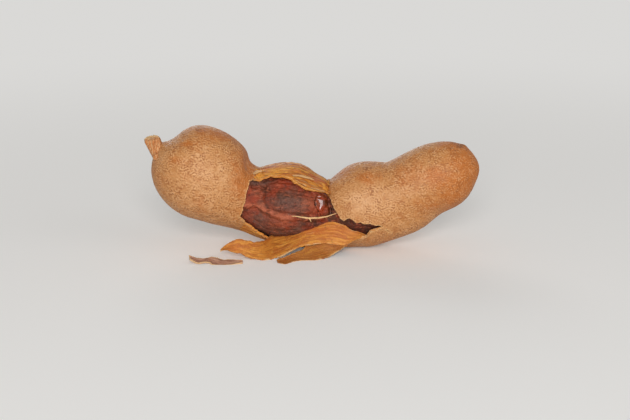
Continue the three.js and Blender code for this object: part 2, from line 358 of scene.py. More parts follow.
# Where the skin is more orange, in the same way, with how much: partly the skin's own colour, and partly
# painted shade along the tops and ends of the lobes.
RUDDY_PATCHES = (
    (-20.5, 21.0, 4.2, 9.0, 1.0),
    (-30.0, 32.5, 9.0, 2.6, 0.5),
    (-33.4, 34.0, 2.4, 1.3, 0.6),
    (-27.0, 33.0, 2.6, 1.5, 0.6),
    (-36.8, 29.7, 2.8, 1.0, 0.7),
    (-40.1, 24.9, 1.8, 1.2, 0.7),
    (-35.3, 12.8, 3.2, 1.4, 0.5),
    (34.8, 20.9, 2.2, 1.6, 0.6),
    (41.3, 14.0, 2.4, 1.6, 0.5),
    (9.0, 22.5, 4.0, 3.0, 0.5),
    (15.5, 20.0, 3.2, 2.0, 0.9),
    (28.0, 21.0, 4.0, 3.5, 0.4),
    (36.0, 20.0, 9.0, 8.0, 0.35),
    (38.0, 12.5, 9.0, 4.5, 0.45),
    (42.0, 30.5, 7.0, 2.6, 0.7),
    (47.0, 24.0, 5.5, 9.0, 1.0),
)
# Where a pale sheen is painted on the skin, in the same way: a painted highlight on the lobes where they face
# the lamp.
PAINTED_SHEEN_PATCHES = (
    (-31.5, 18.5, 8.0, 8.5, 0.9),
    (14.5, 12.0, 7.5, 5.5, 1.0),
    (28.5, 21.0, 3.6, 4.6, 0.8),
    (-44.5, 27.5, 2.2, 3.0, 0.6),
)
# Small dark stains, in the same way.
STAINS = (
    (15.0, 22.8, 1.5, 0.8, 1.0),
    (-34.5, 34.6, 2.6, 1.0, 0.7),
    (42.6, 29.6, 2.4, 1.4, 1.0),
    (20.6, 20.4, 0.8, 0.6, 0.7),
    (37.5, 15.2, 0.7, 0.6, 0.6),
)


def paired(patches):
    """The rows of a table of patches, in the way that bump takes them."""
    return [(row[:2], row[2:4], row[4]) for row in patches]


def bump(x, height, at, half, rise, turn=0.0, power=1.0):
    """A rounded swelling, seen at a place, with its half length and half width, in millimetres.

    It may be turned by some degrees, and a higher power makes its top flatter and its side steeper.
    """
    dx, dh = x - at[0], height - at[1]
    c, s = math.cos(math.radians(turn)), math.sin(math.radians(turn))
    reach = ((dx * c + dh * s) / half[0]) ** 2 + ((dh * c - dx * s) / half[1]) ** 2
    return rise * np.exp(-(reach**power))


def draw_out(step):
    """Extrudes what is picked by one step."""
    bpy.ops.mesh.extrude_region_move(TRANSFORM_OT_translate={"value": step})


def drawn_out(name, sides, places, fill="NOTHING"):
    """Draws a ring out along its places, and stays in edit mode.

    Each place is an x, a height, a turn from upright and a radius.
    """
    x, height, turn, radius = places[0]
    pick_nothing()
    bpy.ops.mesh.primitive_circle_add(vertices=sides, radius=radius, fill_type=fill,
                                      location=(x, 0, height), rotation=(0, turn, 0))
    piece = named(name)
    bpy.ops.object.mode_set(mode="EDIT")
    bpy.ops.mesh.select_all(action="SELECT")
    for new_x, new_height, new_turn, new_radius in places[1:]:
        middle = (new_x, 0, new_height)
        growth = new_radius / radius
        draw_out((new_x - x, 0, new_height - height))
        bpy.ops.transform.resize(value=(growth,) * 3, center_override=middle)
        bpy.ops.transform.rotate(value=turn - new_turn, orient_axis="Y", center_override=middle)
        x, height, turn, radius = new_x, new_height, new_turn, new_radius
    return piece


def pod_body(name, depth, sides, cap_rings, body_rings):
    """The closed surface that lies this deep under the skin, drawn out ring by ring along the spine."""
    first_pole, *rings, last_pole = ring_table(depth, cap_rings, body_rings)
    places = [(*spine_at(along), radius) for along, radius in rings]
    piece = drawn_out(name, sides, places)
    close_end(last_pole[0], *places[-1][:2])
    mesh = bmesh.from_edit_mesh(piece.data)
    bpy.ops.mesh.select_all(action="DESELECT")
    mesh.verts.ensure_lookup_table()
    for i in range(sides):
        mesh.verts[i].select = True
    mesh.select_flush_mode()
    close_end(first_pole[0], *places[0][:2])
    face_outwards()
    bpy.ops.transform.resize(value=(1, FLATTENING, 1), center_override=(0, 0, 0))
    bpy.ops.object.mode_set(mode="OBJECT")
    stand_in_pod(piece)
    subdivide(piece, 1)
    x, height = seen(points_of(piece))
    emboss(piece, sum(bump(x, height, *patch) for patch in paired(SWELLINGS)) * MM)
    return piece


def face_outwards():
    """Turns all faces of the closed piece in edit mode outwards."""
    bpy.ops.mesh.select_all(action="SELECT")
    bpy.ops.mesh.normals_make_consistent(inside=False)


def stand_in_pod(piece):
    """Leans a piece that was made upright forwards with the pod, and moves it to the pod's place."""
    settle(piece)
    put_points(piece, lean(points_of(piece)) + np.array(POD_PLACE))


def close_end(pole_along, x, height):
    """Draws the picked ring together to a pole."""
    pole_x, pole_height, _ = spine_at(pole_along)
    draw_out((pole_x - x, 0, pole_height - height))
    bpy.ops.mesh.merge(type="CENTER")


def pod_places(points):
    """For each point: how far it is along the pod and from its spine, in millimetres, and between these its
    angle round the pod, in degrees from the front and upwards.
    """
    p = np.asarray(points) - np.array(POD_PLACE)
    y, z = p[:, 1], p[:, 2] - PIVOT_HEIGHT
    upright_y = y * math.cos(FORWARD_LEAN) + z * math.sin(FORWARD_LEAN)
    upright_z = z * math.cos(FORWARD_LEAN) - y * math.sin(FORWARD_LEAN) + PIVOT_HEIGHT
    middle = np.interp(p[:, 0], SPINE[:, 0], SPINE[:, 1])
    along = np.interp(p[:, 0], SPINE[:, 0], ALONG)
    angle = np.arctan2(upright_z - middle, -upright_y / FLATTENING)
    away = np.hypot(upright_z - middle, upright_y / FLATTENING)
    return np.stack([along / MM, np.degrees(angle), away / MM], axis=1)


def seen(points):
    """The x and height of points as they are seen square to the break, in millimetres."""
    p = np.asarray(points) - np.array(POD_PLACE)
    return p[:, 0] / MM, p @ np.array(BREAK_UP) / MM


def surface_of(piece):
    """A piece's surface as it is now, for finding places on it."""
    return BVHTree.FromObject(piece, bpy.context.evaluated_depsgraph_get())


def on_surface(surface, x, height, lift=0.0):
    """The place on a surface that is seen at x and height through the break, and the normal there."""
    middle = POD_PLACE + Vector((x * MM, 0, 0)) + BREAK_UP * height * MM
    place, normal, *_ = surface.ray_cast(middle + BREAK_OUT * CLEAR_OF_POD, -BREAK_OUT)
    if place is None:  # just under the pod's edge, where its underside is nearest
        place, normal, *_ = surface.find_nearest(middle + BREAK_OUT * UNDERSIDE_REACH)
    return place + normal * lift * MM, normal


# ---------------------------------------------------------------- materials


def new_finish(name, roughness, **constants):
    """Starts a material, and gives it, its nodes and its shader, with the values that don't vary over it."""
    material = bpy.data.materials.new(name)
    material.use_nodes = True
    shader = material.node_tree.nodes["Principled BSDF"]
    shader.inputs["Roughness"].default_value = roughness
    for key, value in constants.items():
        shader.inputs[key.replace("_", " ")].default_value = value
    return material, material.node_tree, shader


def feed(tree, socket, value):
    """Sets a socket to a value, or links another node's output to it."""
    if isinstance(value, bpy.types.NodeSocket):
        tree.links.new(value, socket)
    else:
        socket.default_value = value


def node(tree, kind, settings=None, **sockets):
    """Adds a node. Its sockets are set by name, to a value or from another node's output."""
    made = tree.nodes.new("ShaderNode" + kind)
    for key, value in (settings or {}).items():
        setattr(made, key, value)
    for key, value in sockets.items():
        feed(tree, made.inputs[key.replace("_", " ")], value)
    return made


def place_in_mm(tree, stretch=(1, 1, 1), turn=(0, 0, 0)):
    """The place on the piece in millimetres, stretched where a pattern is longer one way."""
    scale = tuple(s / MM for s in stretch)
    where = node(tree, "TexCoord").outputs["Object"]
    return node(tree, "Mapping", Vector=where, Scale=scale, Rotation=turn).outputs["Vector"]


def attribute(tree, name, output="Fac"):
    """What was kept for each vertex under this name."""
    return node(tree, "Attribute", {"attribute_name": name}).outputs[output]


def clouds(tree, where, size, detail=3, roughness=0.55):
    """Soft patches of about this size, in millimetres, from 0 to 1."""
    made = node(tree, "TexNoise", Vector=where, Scale=1 / size, Detail=detail, Roughness=roughness)
    return made.outputs["Fac"]


def math_node(tree, kind, operation, values, **sockets):
    """Adds a node that works something out, with its first sockets set in their order."""
    made = node(tree, kind, {"operation": operation}, **sockets)
    for socket, value in zip(made.inputs, values):
        feed(tree, socket, value)
    return made.outputs


def times(tree, a, b):
    """Two numbers multiplied, each a value or a node's output."""
    return math_node(tree, "Math", "MULTIPLY", (a, b))[0]


def plus(tree, a, b):
    """Two numbers added, each a value or a node's output."""
    return math_node(tree, "Math", "ADD", (a, b))[0]


def warped(tree, where, size, amount):
    """Places pushed about by up to an amount, so that a pattern on them turns wavy."""
    push = node(tree, "TexNoise", Vector=where, Scale=1 / size, Detail=1.0).outputs["Color"]
    centred = math_node(tree, "VectorMath", "SUBTRACT", (push, (0.5, 0.5, 0.5)))[0]
    scaled = math_node(tree, "VectorMath", "SCALE", (centred,), Scale=2 * amount)[0]
    return math_node(tree, "VectorMath", "ADD", (where, scaled))[0]


def ridges(tree, where, pitch, straightness=0.0, across=(0, 0, 1)):
    """Fine ridges this far apart, 0 in the furrows and 1 on top: wavy, or straighter across a direction."""
    made = node(tree, "TexGabor", {"gabor_type": "3D"}, Vector=where, Scale=0.5 / pitch, Frequency=2.0,
                Anisotropy=straightness)
    made.inputs[5].default_value = across
    return made.outputs["Value"]


def ranged(tree, value, low, high, to_low=0.0, to_high=1.0, kind="SMOOTHSTEP"):
    """A number's range between low and high, spread over another range and held at its ends."""
    made = node(tree, "MapRange", {"interpolation_type": kind}, Value=value)
    for key, number in zip(("From Min", "From Max", "To Min", "To Max"), (low, high, to_low, to_high)):
        made.inputs[key].default_value = number
    return made.outputs["Result"]


def mixed_values(tree, share, a, b):
    """Mixes two numbers."""
    made = node(tree, "Mix", {"data_type": "FLOAT"})
    for index, value in ((0, share), (2, a), (3, b)):
        feed(tree, made.inputs[index], value)
    return made.outputs[0]


def mixed(tree, share, a, b):
    """Mixes two colours, each a plain colour or a node's output."""
    made = node(tree, "Mix", {"data_type": "RGBA"})
    feed(tree, made.inputs[0], share)
    for index, value in ((6, a), (7, b)):
        feed(tree, made.inputs[index], value if isinstance(value, bpy.types.NodeSocket) else (*value, 1))
    return made.outputs[2]


def tinted(tree, colour, *layers):
    """Lays colours over another, each (pattern, low, high, share, tint): none at low, its share at high."""
    for pattern, low, high, share, tint in layers:
        colour = mixed(tree, ranged(tree, pattern, low, high, 0, share), colour, tint)
    return colour


def uneven(tree, name, pattern, *reach):
    """What was kept for each vertex under this name, made uneven by the range of a pattern."""
    return times(tree, attribute(tree, name), ranged(tree, pattern, *reach))


def coat(tree, shader, colour, *layers):
    """Gives the shader its colour, and raises its surface by layers of (pattern, height in metres)."""
    tree.links.new(colour, shader.inputs["Base Color"])
    normal = None
    for pattern, height in layers:
        layer = node(tree, "Bump", Height=pattern, Distance=height)
        if normal is not None:
            tree.links.new(normal, layer.inputs["Normal"])
        normal = layer.outputs["Normal"]
    tree.links.new(normal, shader.inputs["Normal"])


# The skin's fine net, in millimetres: how far apart its straighter ridges and its knobs are, and how high.
RIDGE_PITCH, KNOB_PITCH = 0.74, 0.66
RIDGE_HEIGHT = 0.26


def skin_net(tree, where, ruddy):
    """The net of fine ridges and knobs on the skin, and how strong it is from place to place."""
    wavy = warped(tree, where, 1.6, 0.35)
    across = ridges(tree, wavy, RIDGE_PITCH, 0.3, (0.25, 0, 1))
    knobbly = ridges(tree, wavy, KNOB_PITCH, 0.0, (1, 0, 0.45))
    net = mixed_values(tree, ranged(tree, clouds(tree, where, 4.5, 2), 0.4, 0.6), across, knobbly)
    strength = ranged(tree, clouds(tree, where, 3.2, 3, 0.65), 0.32, 0.6, 0.3, 1.0)
    return net, times(tree, strength, ranged(tree, ruddy, 0, 1, 1.0, 0.6))


def skin_finish(colours):
    """Dry leathery skin: fine wavy ridges over soft patches of sandy and orange tan."""
    material, tree, shader = new_finish("pod_skin", 0.52, Specular_IOR_Level=0.3)
    where = place_in_mm(tree)
    ruddy = attribute(tree, "ruddy")
    # The ruddy patches are partly the skin's own colour and partly painted shade along the lobes' tops and
    # ends.
    warmth = plus(tree, clouds(tree, where, 7, 4, 0.65), times(tree, ruddy, 0.45))
    base = mixed(tree, ranged(tree, warmth, 0.5, 0.85), colours.skin_pale, colours.skin_orange)
    dapple = clouds(tree, where, 2.6, 4, 0.7)
    base = tinted(tree, base, (dapple, 0.5, 0.7, 0.75, colours.skin_deep),
                  (dapple, 0.45, 0.3, 0.35, colours.skin_top))
    # Painted sheen: the skin is mixed paler towards its ridge colour where the lobes face the lamp.
    base = mixed(tree, uneven(tree, "dusty", dapple, 0.6, 0.4, 0.2, 0.6), base, colours.skin_top)
    net, strength = skin_net(tree, where, ruddy)
    tops = times(tree, ranged(tree, net, 0.48, 0.66), strength)
    furrows = times(tree, ranged(tree, net, 0.5, 0.36), strength)
    base = mixed(tree, times(tree, tops, 0.7), base, colours.skin_top)
    base = mixed(tree, times(tree, furrows, 0.68), base, colours.skin_crease)
    spots = plus(tree, clouds(tree, where, 0.9, 3), times(tree, attribute(tree, "stained"), 0.24))
    base = tinted(tree, base, (spots, 0.66, 0.72, 0.7, colours.freckle))
    bare, bare_share, streaks = flaked_colour(tree, where, colours)
    colour = mixed(tree, bare_share, base, bare)
    worn = uneven(tree, "edge", clouds(tree, where, 0.8, 3), 0.4, 0.6, 0.1, 0.9)
    colour = mixed(tree, worn, colour, colours.lining_pale)
    rise = times(tree, times(tree, net, strength), ranged(tree, bare_share, 0, 1, 1, 0.1))
    coat(tree, shader, colour, (rise, RIDGE_HEIGHT * MM), (clouds(tree, where, 0.2, 2), 0.04 * MM),
         (times(tree, streaks, bare_share), 0.35 * MM))
    return material


def long_streaks(tree, laid, width, run, detail=4, roughness=0.62):
    """Streaks that run along a piece, from its own way along and across: their width and length."""
    stretched = node(tree, "Mapping", Vector=laid, Scale=(1 / run, 1 / width, 1 / width)).outputs["Vector"]
    return clouds(tree, stretched, 1.0, detail, roughness)


def streaked_colour(tree, laid, colours, base, contrast=1.0):
    """Fibres that run along the shell's inner layers: gold, dark and pale streaks on an orange base."""
    wavy = warped(tree, laid, 3.0, 0.5)
    streaks = long_streaks(tree, wavy, 0.8, 7, 4, 0.6)
    fine = long_streaks(tree, wavy, 0.36, 6, 3, 0.55)
    patches = long_streaks(tree, wavy, 2.4, 6, 4, 0.65)
    colour = tinted(tree, base, (patches, 0.42, 0.6, 1, colours.lining_deep),
                    (streaks, 0.51, 0.6, 0.85 * contrast, colours.lining_yellow),
                    (streaks, 0.47, 0.38, 0.85 * contrast, colours.lining_dark),
                    (fine, 0.6, 0.72, 0.25 + 0.25 * contrast, colours.lining_pale))
    return colour, plus(tree, streaks, fine)


def flaked_colour(tree, where, colours):
    """The smooth fibrous layer that shows where the outer skin has flaked off, and how far it shows."""
    laid = attribute(tree, "laid", "Vector")
    bare, streaks = streaked_colour(tree, laid, colours, colours.under_layer)
    stripes = long_streaks(tree, laid, 1.3, 22, 2, 0.5)
    bare = tinted(tree, bare, (stripes, 0.53, 0.62, 0.6, colours.lining_red),
                  (stripes, 0.47, 0.38, 0.6, colours.lining_yellow))
    ragged = math_node(tree, "Math", "SUBTRACT", (clouds(tree, where, 0.8, 2), 0.5))[0]
    torn = plus(tree, attribute(tree, "flaked"), times(tree, ragged, 0.5))
    return bare, ranged(tree, torn, 0.45, 0.58), streaks


def lining_finish(colours, name="smooth_lining", tint=None, share=0.0):
    """The smooth inner side of the shell: satin orange with pale and dark streaks along it.

    It may have a share of one more colour all over.
    """
    material, tree, shader = new_finish(name, 0.5, Specular_IOR_Level=0.3)
    where = place_in_mm(tree)
    colour, streaks = streaked_colour(tree, attribute(tree, "laid", "Vector"), colours, colours.lining, 0.5)
    mottling = clouds(tree, where, 1.5, 4, 0.7)
    colour = tinted(tree, colour, (mottling, 0.5, 0.68, 0.6, colours.lining_deep),
                    (mottling, 0.46, 0.3, 0.5, colours.lining_yellow))
    colour = mixed(tree, uneven(tree, "ruddy", mottling, 0.6, 0.4, 0.3, 0.8), colour, colours.lining_red)
    if tint is not None:
        colour = mixed(tree, share, colour, tint)
    worn = uneven(tree, "edge", clouds(tree, where, 2.4, 4, 0.65), 0.42, 0.56)
    colour = mixed(tree, worn, colour, colours.torn_edge)
    colour = tinted(tree, colour, (clouds(tree, where, 0.9, 2), 0.66, 0.72, 0.6, colours.freckle))
    coat(tree, shader, colour, (streaks, 0.2 * MM), (mottling, 0.25 * MM),
         (clouds(tree, where, 0.25, 2), 0.02 * MM))
    return material


def torn_finish(colours):
    """The torn edge of the shell, paler and fibrous."""
    material, tree, shader = new_finish("torn_edge", 0.8)
    grain = clouds(tree, place_in_mm(tree), 0.5, 3)
    colour = mixed(tree, ranged(tree, grain, 0.35, 0.7), colours.torn_edge, colours.lining)
    colour = mixed(tree, uneven(tree, "flaked", grain, 0.4, 0.6, 1, 0.5), colour, colours.under_layer)
    coat(tree, shader, colour, (grain, 0.1 * MM))
    return material


def pulp_finish(colours, name="sticky_pulp", gloss=0.32):
    """Sticky pulp: dark red-brown, greyer where it has dried, and glossy where it is still wet."""
    material, tree, shader = new_finish(name, 0.5, Specular_IOR_Level=gloss)
    where = place_in_mm(tree)
    grain = clouds(tree, where, 1.3, 4, 0.65)
    mottling = clouds(tree, place_in_mm(tree, (0.45, 1, 1)), 0.8, 4, 0.62)
    redness = ranged(tree, clouds(tree, where, 4, 4, 0.6), 0.4, 0.6)
    colour = mixed(tree, redness, colours.pulp_brown, colours.pulp_red)
    # The shaded patches are painted shade.
    for part, tint in (("fresh", colours.pulp_red), ("dried", colours.pulp_grey),
                       ("ripe", colours.pulp_pink), ("shaded", colours.pulp_dark)):
        colour = mixed(tree, uneven(tree, part, grain, 0.3, 0.6, 0.55, 1), colour, tint)
    ribs = ridges(tree, warped(tree, where, 1.5, 0.12), 0.72, 0.5, (1, 0, 0.08))
    ribbed = uneven(tree, "ribbed", clouds(tree, where, 2.0, 2), 0.35, 0.6, 0.4, 1)
    furrows = times(tree, ribbed, ranged(tree, ribs, 0.5, 0.35, 0, 0.6))
    colour = mixed(tree, furrows, colour, colours.pulp_dark)
    colour = tinted(tree, colour, (mottling, 0.51, 0.68, 0.65, colours.pulp_dark),
                    (mottling, 0.46, 0.32, 0.6, colours.pulp_pink))
    wet = attribute(tree, "wet")
    moist = plus(tree, wet, ranged(tree, grain, 0.52, 0.66, 0, 0.45))
    tree.links.new(ranged(tree, moist, 0, 1, 0.6, 0.13), shader.inputs["Roughness"])
    dry = ranged(tree, wet, 0.1, 0.5, 1, 0)
    coat(tree, shader, colour, (times(tree, grain, dry), 0.55 * MM), (times(tree, mottling, dry), 0.3 * MM),
         (times(tree, ribbed, ribs), 0.16 * MM))
    return material


def vein_finish(colours):
    """A dry cream vein with fibres along it."""
    material, tree, shader = new_finish("dry_vein", 0.6)
    fibres = clouds(tree, place_in_mm(tree, (0.3, 4, 4)), 1.0, 3)
    colour = mixed(tree, ranged(tree, fibres, 0.3, 0.7), colours.vein, colours.torn_edge)
    coat(tree, shader, colour, (fibres, 0.08 * MM))
    return material


def stalk_finish(colours):
    """Woody stalk: rough, with orange and dark lines along it and pale broken fibres at the end."""
    material, tree, shader = new_finish("woody_stalk", 0.7)
    grain = clouds(tree, place_in_mm(tree, (2.2, 2.2, 0.5)), 1.0, 4, 0.6)
    lines = clouds(tree, place_in_mm(tree, (3.2, 2.2, 0.6), (0, math.radians(12), 0)), 1.0, 3)
    colour = tinted(tree, colours.stalk, (grain, 0.4, 0.65, 1, colours.stalk_dark),
                    (lines, 0.52, 0.62, 0.8, colours.skin_orange),
                    (lines, 0.46, 0.36, 0.7, colours.torn_edge))
    colour = mixed(tree, attribute(tree, "broken"), colour, colours.torn_edge)
    coat(tree, shader, colour, (grain, 0.25 * MM), (lines, 0.15 * MM))
    return material


def chip_finish(colours):
    """The loose chip: pinkish tan with darker streaks, paler and greyer towards its ends and edges."""
    material, tree, shader = new_finish("loose_chip", 0.65)
    where = place_in_mm(tree)
    streaks = long_streaks(tree, attribute(tree, "laid", "Vector"), 0.7, 4)
    grain = clouds(tree, where, 1.2, 4, 0.65)
    colour = tinted(tree, colours.chip_dark, (streaks, 0.42, 0.58, 1, colours.chip),
                    (grain, 0.52, 0.68, 0.5, colours.skin_deep))
    worn = plus(tree, attribute(tree, "edge"), ranged(tree, streaks, 0.6, 0.7, 0, 0.6))
    colour = mixed(tree, times(tree, worn, 0.7), colour, colours.torn_edge)
    coat(tree, shader, colour, (streaks, 0.2 * MM), (grain, 0.15 * MM),
         (clouds(tree, where, 0.3, 2), 0.03 * MM))
    return material


# ---------------------------------------------------------------- what a user may change


def length(name, description, default):
    """A size that a user may change, in metres."""
    return bpy.props.FloatProperty(name=name, description=description, default=default, min=0,
                                   subtype="DISTANCE", unit="LENGTH", precision=5)


def colour(name, description, default):
    """A colour that a user may change."""
    return bpy.props.FloatVectorProperty(name=name, description=description, default=default, size=3,
                                         min=0, max=1, subtype="COLOR")


def power(name, description, default):
    """A lamp's power, which a user may change."""
    return bpy.props.FloatProperty(name=name, description=description, default=default, min=0, unit="POWER")


class TamarindSizes(bpy.types.PropertyGroup):
    """The sizes of the pod's pieces."""

    shell_wall: length("Shell wall", "Thickness of the brittle shell", 0.75 * MM)
    pulp_gap: length("Pulp gap", "How far the pulp has shrunk away from the shell", 1.0 * MM)
    lump_height: length("Lumps", "Height of the broad lumps of the skin", 0.35 * MM)
    wrinkle_height: length("Wrinkles", "Height of the skin's wrinkles", 0.07 * MM)
    flake_depth: length("Flaked layer", "How much thinner the shell is where it has flaked", 0.16 * MM)
    flap_thickness: length("Flap thickness", "Thickness of the peeled flaps", 0.5 * MM)
    vein_radius: length("Vein radius", "Half the thickness of the dry vein", 0.27 * MM)
    stalk_width: length("Stalk width", "Width of the stalk's broken end", 4.7 * MM)


class TamarindColours(bpy.types.PropertyGroup):
    """The colours that the pod's finishes are mixed from."""

    skin_pale: colour("Pale skin", "Sandy patches of the skin", (0.48, 0.215, 0.07))
    skin_orange: colour("Orange skin", "Warmer patches of the skin", (0.43, 0.13, 0.02))
    skin_deep: colour("Deep skin", "Darkest mottling of the skin", (0.34, 0.11, 0.024))
    # The ridge colour is also the colour of the painted sheen on the lobes.
    skin_top: colour("Skin ridges", "Top of the skin's fine ridges", (0.64, 0.35, 0.165))
    skin_crease: colour("Skin furrows", "Furrows between the skin's ridges", (0.25, 0.08, 0.02))
    freckle: colour("Freckles", "Small dark marks on the skin", (0.20, 0.07, 0.022))
    under_layer: colour("Under layer", "The layer under flaked skin", (0.62, 0.22, 0.022))
    lining: colour("Lining", "Inner side of the shell", (0.56, 0.20, 0.03))
    lining_deep: colour("Deep lining", "Redder parts of the inner side", (0.44, 0.13, 0.02))
    lining_red: colour("Red lining", "Reddened parts of the inner side", (0.46, 0.09, 0.012))
    lining_dark: colour("Dark lining", "Dark streaks of the inner side", (0.24, 0.075, 0.014))
    lining_yellow: colour("Yellow lining", "Yellower streaks of the inner side", (0.78, 0.37, 0.06))
    lining_pale: colour("Pale lining", "Cream streaks of the inner side", (0.78, 0.50, 0.22))
    torn_edge: colour("Torn edge", "Broken edges of the shell", (0.66, 0.42, 0.20))
    pulp_red: colour("Red pulp", "Freshest parts of the pulp", (0.25, 0.03, 0.006))
    pulp_brown: colour("Brown pulp", "Most of the pulp", (0.12, 0.03, 0.011))
    pulp_grey: colour("Grey pulp", "Where the pulp has dried over a seed", (0.145, 0.06, 0.04))
    pulp_pink: colour("Pink pulp", "Folds of the pulp", (0.42, 0.11, 0.05))
    # Dark pulp is also the painted shade laid where the pulp is shaded: under the shell's upper rim, in the
    # crack and along its lower edge.
    pulp_dark: colour("Dark pulp", "Hollows of the pulp", (0.035, 0.011, 0.005))
    vein: colour("Vein", "The dry vein", (0.72, 0.42, 0.19))
    stalk: colour("Stalk", "The stalk's wood", (0.57, 0.26, 0.10))
    stalk_dark: colour("Dark stalk", "The stalk's darker lines", (0.36, 0.12, 0.03))
    chip: colour("Chip", "The loose chip", (0.40, 0.20, 0.13))
    chip_dark: colour("Dark chip", "The chip's darker parts", (0.20, 0.085, 0.05))


class TamarindStage(bpy.types.PropertyGroup):
    """The floor's colour and the lamps."""

    floor: colour("Floor", "Colour of the floor", (0.90, 0.89, 0.87))
    main_power: power("Main lamp", "Power of the main lamp", 13.6)
    fill_power: power("Fill lamp", "Power of the fill lamp", 1.2)
    back_power: power("Back lamp", "Power of the back lamp", 4.8)


class Maker:
    """What every operator of the add-on shares."""

    bl_options = {"REGISTER", "UNDO"}

    @property
    def sizes(self):
        return bpy.context.scene.tamarind_sizes

    @property
    def colours(self):
        return bpy.context.scene.tamarind_colours


# ---------------------------------------------------------------- shell

MEAN_RADIUS = 12  # of the pod, in millimetres
FLAKED_FROM_X, FLAKED_TO_X = -18.2, 4.6
FLAKED_TOP = 108.0  # degrees round from the front


def skin_body(sizes):
    """The whole outside of the pod, with its lumps and wrinkles, thinner where its skin has flaked off."""
    skin = pod_body("broken_shell", 0, *SKIN_RINGS)
    subdivide(skin, 1)
    roughen(skin, "lumps", 9 * MM, sizes.lump_height, noise_depth=2)
    roughen(skin, "wrinkles", 2.2 * MM, sizes.wrinkle_height, "DISTORTED_NOISE",
            noise_basis="VORONOI_CRACKLE", noise_distortion="ORIGINAL_PERLIN", distortion=1.2)
    points = points_of(skin)
    points[:, 2] = np.maximum(points[:, 2], 0)
    put_points(skin, points)
    emboss(skin, -sizes.flake_depth * flaked_share(points_of(skin)))
    return skin


def patched(points, patches):
    """How far the patches of the pod's front cover each point."""
    x, height = seen(points)
    return np.clip(sum(bump(x, height, *patch) for patch in paired(patches)) * facing(points), 0, 1)


def nearness(points, outline, reach):
    """1 on an outline, as seen square to the break, and less up to this far from it, in millimetres."""
    tree = kdtree.KDTree(len(outline))
    for i, (x, height) in enumerate(outline):
        tree.insert((x, height, 0), i)
    tree.balance()
    far = np.full(len(points), reach)
    places = np.stack(seen(points), axis=1)
    for i in np.nonzero(points[:, 1] < POD_PLACE.y)[0]:
        far[i] = tree.find((*places[i], 0))[2]
    return smooth_step(far, reach, 0)


def flaked_share(points):
    """How far the outer skin has flaked off at each point, from 0 to 1: over the top of the second lobe."""
    x, _ = seen(points)
    _, angle, _ = pod_places(points).T
    ragged = noise_at(points, 1.8 * MM, 3.0)
    ends = smooth_step(x + 1.2 * ragged, FLAKED_FROM_X, FLAKED_FROM_X + 0.9)
    ends *= smooth_step(x + 1.2 * ragged, FLAKED_TO_X, FLAKED_TO_X - 0.9)
    from_middle = np.abs(2 * x - FLAKED_FROM_X - FLAKED_TO_X) / (FLAKED_TO_X - FLAKED_FROM_X)
    top = smooth_step(angle + 12 * ragged + 26 * from_middle**3, FLAKED_TOP + 10, FLAKED_TOP)
    front = smooth_step(angle, 0, 10)
    return np.maximum(ends * top * front, strip_share(points, ragged))


def strip_share(points, ragged):
    """The strip under the hole's lower left edge, where the skin has worn off too."""
    x, height = seen(points)
    start, end = np.array(HOLE_LEFT[3]), np.array(HOLE_BOTTOM[-1])
    line = (end - start) / np.linalg.norm(end - start)
    along = (x - start[0]) * line[0] + (height - start[1]) * line[1]
    away = (x - start[0]) * line[1] - (height - start[1]) * line[0]
    near = smooth_step(np.abs(away) + 0.4 * ragged, 3.6 + 0.12 * along, 2.8 + 0.1 * along)
    front = pod_places(points)[:, 1] < 20
    return near * smooth_step(along, 0.5, 4) * smooth_step(along, 16, 12) * front


# How the hole is torn, in millimetres: its steps, two sizes of unevenness, and how they fall.
TEAR_SPACING, TEAR_COARSE, TEAR_FINE, TEAR_SEED = 0.35, 0.5, 0.18, 4.0
TEAR_WIDTH = 0.35  # of the pale edge


def torn_outline(outline, spacing, coarse, fine, seed):
    """An outline broken into short steps and torn by two sizes of unevenness, in millimetres."""
    torn = []
    for (x, h), (next_x, next_h) in zip(outline, outline[1:] + outline[:1]):
        run = math.hypot(next_x - x, next_h - h)
        count = max(1, round(run / spacing))
        side = Vector((next_h - h, x - next_x)) / run
        for i in range(count):
            p = Vector((x + (next_x - x) * i / count, h + (next_h - h) * i / count))
            ease = min(1, run / 2)
            out = coarse * noise.noise(Vector((p.x / 2.0, p.y / 2.0, seed)))
            out += fine * noise.noise(Vector((p.x / 0.55, p.y / 0.55, seed + 9)))
            torn.append(p + side * out * ease)
    return torn


def torn_hole():
    """The hole's outline as it is torn."""
    return torn_outline(HOLE, TEAR_SPACING, TEAR_COARSE, TEAR_FINE, TEAR_SEED)


# The hole's walls: how far they reach in and out from the skin, and how far they open on the way. The tool
# then goes on straight through the break.
WALL_INSIDE, WALL_OUTSIDE, WALL_OPENING = 2.2 * MM, 2.0 * MM, 0.5 * MM
TOOL_INSIDE, TOOL_OUTSIDE = 3 * MM, 20 * MM


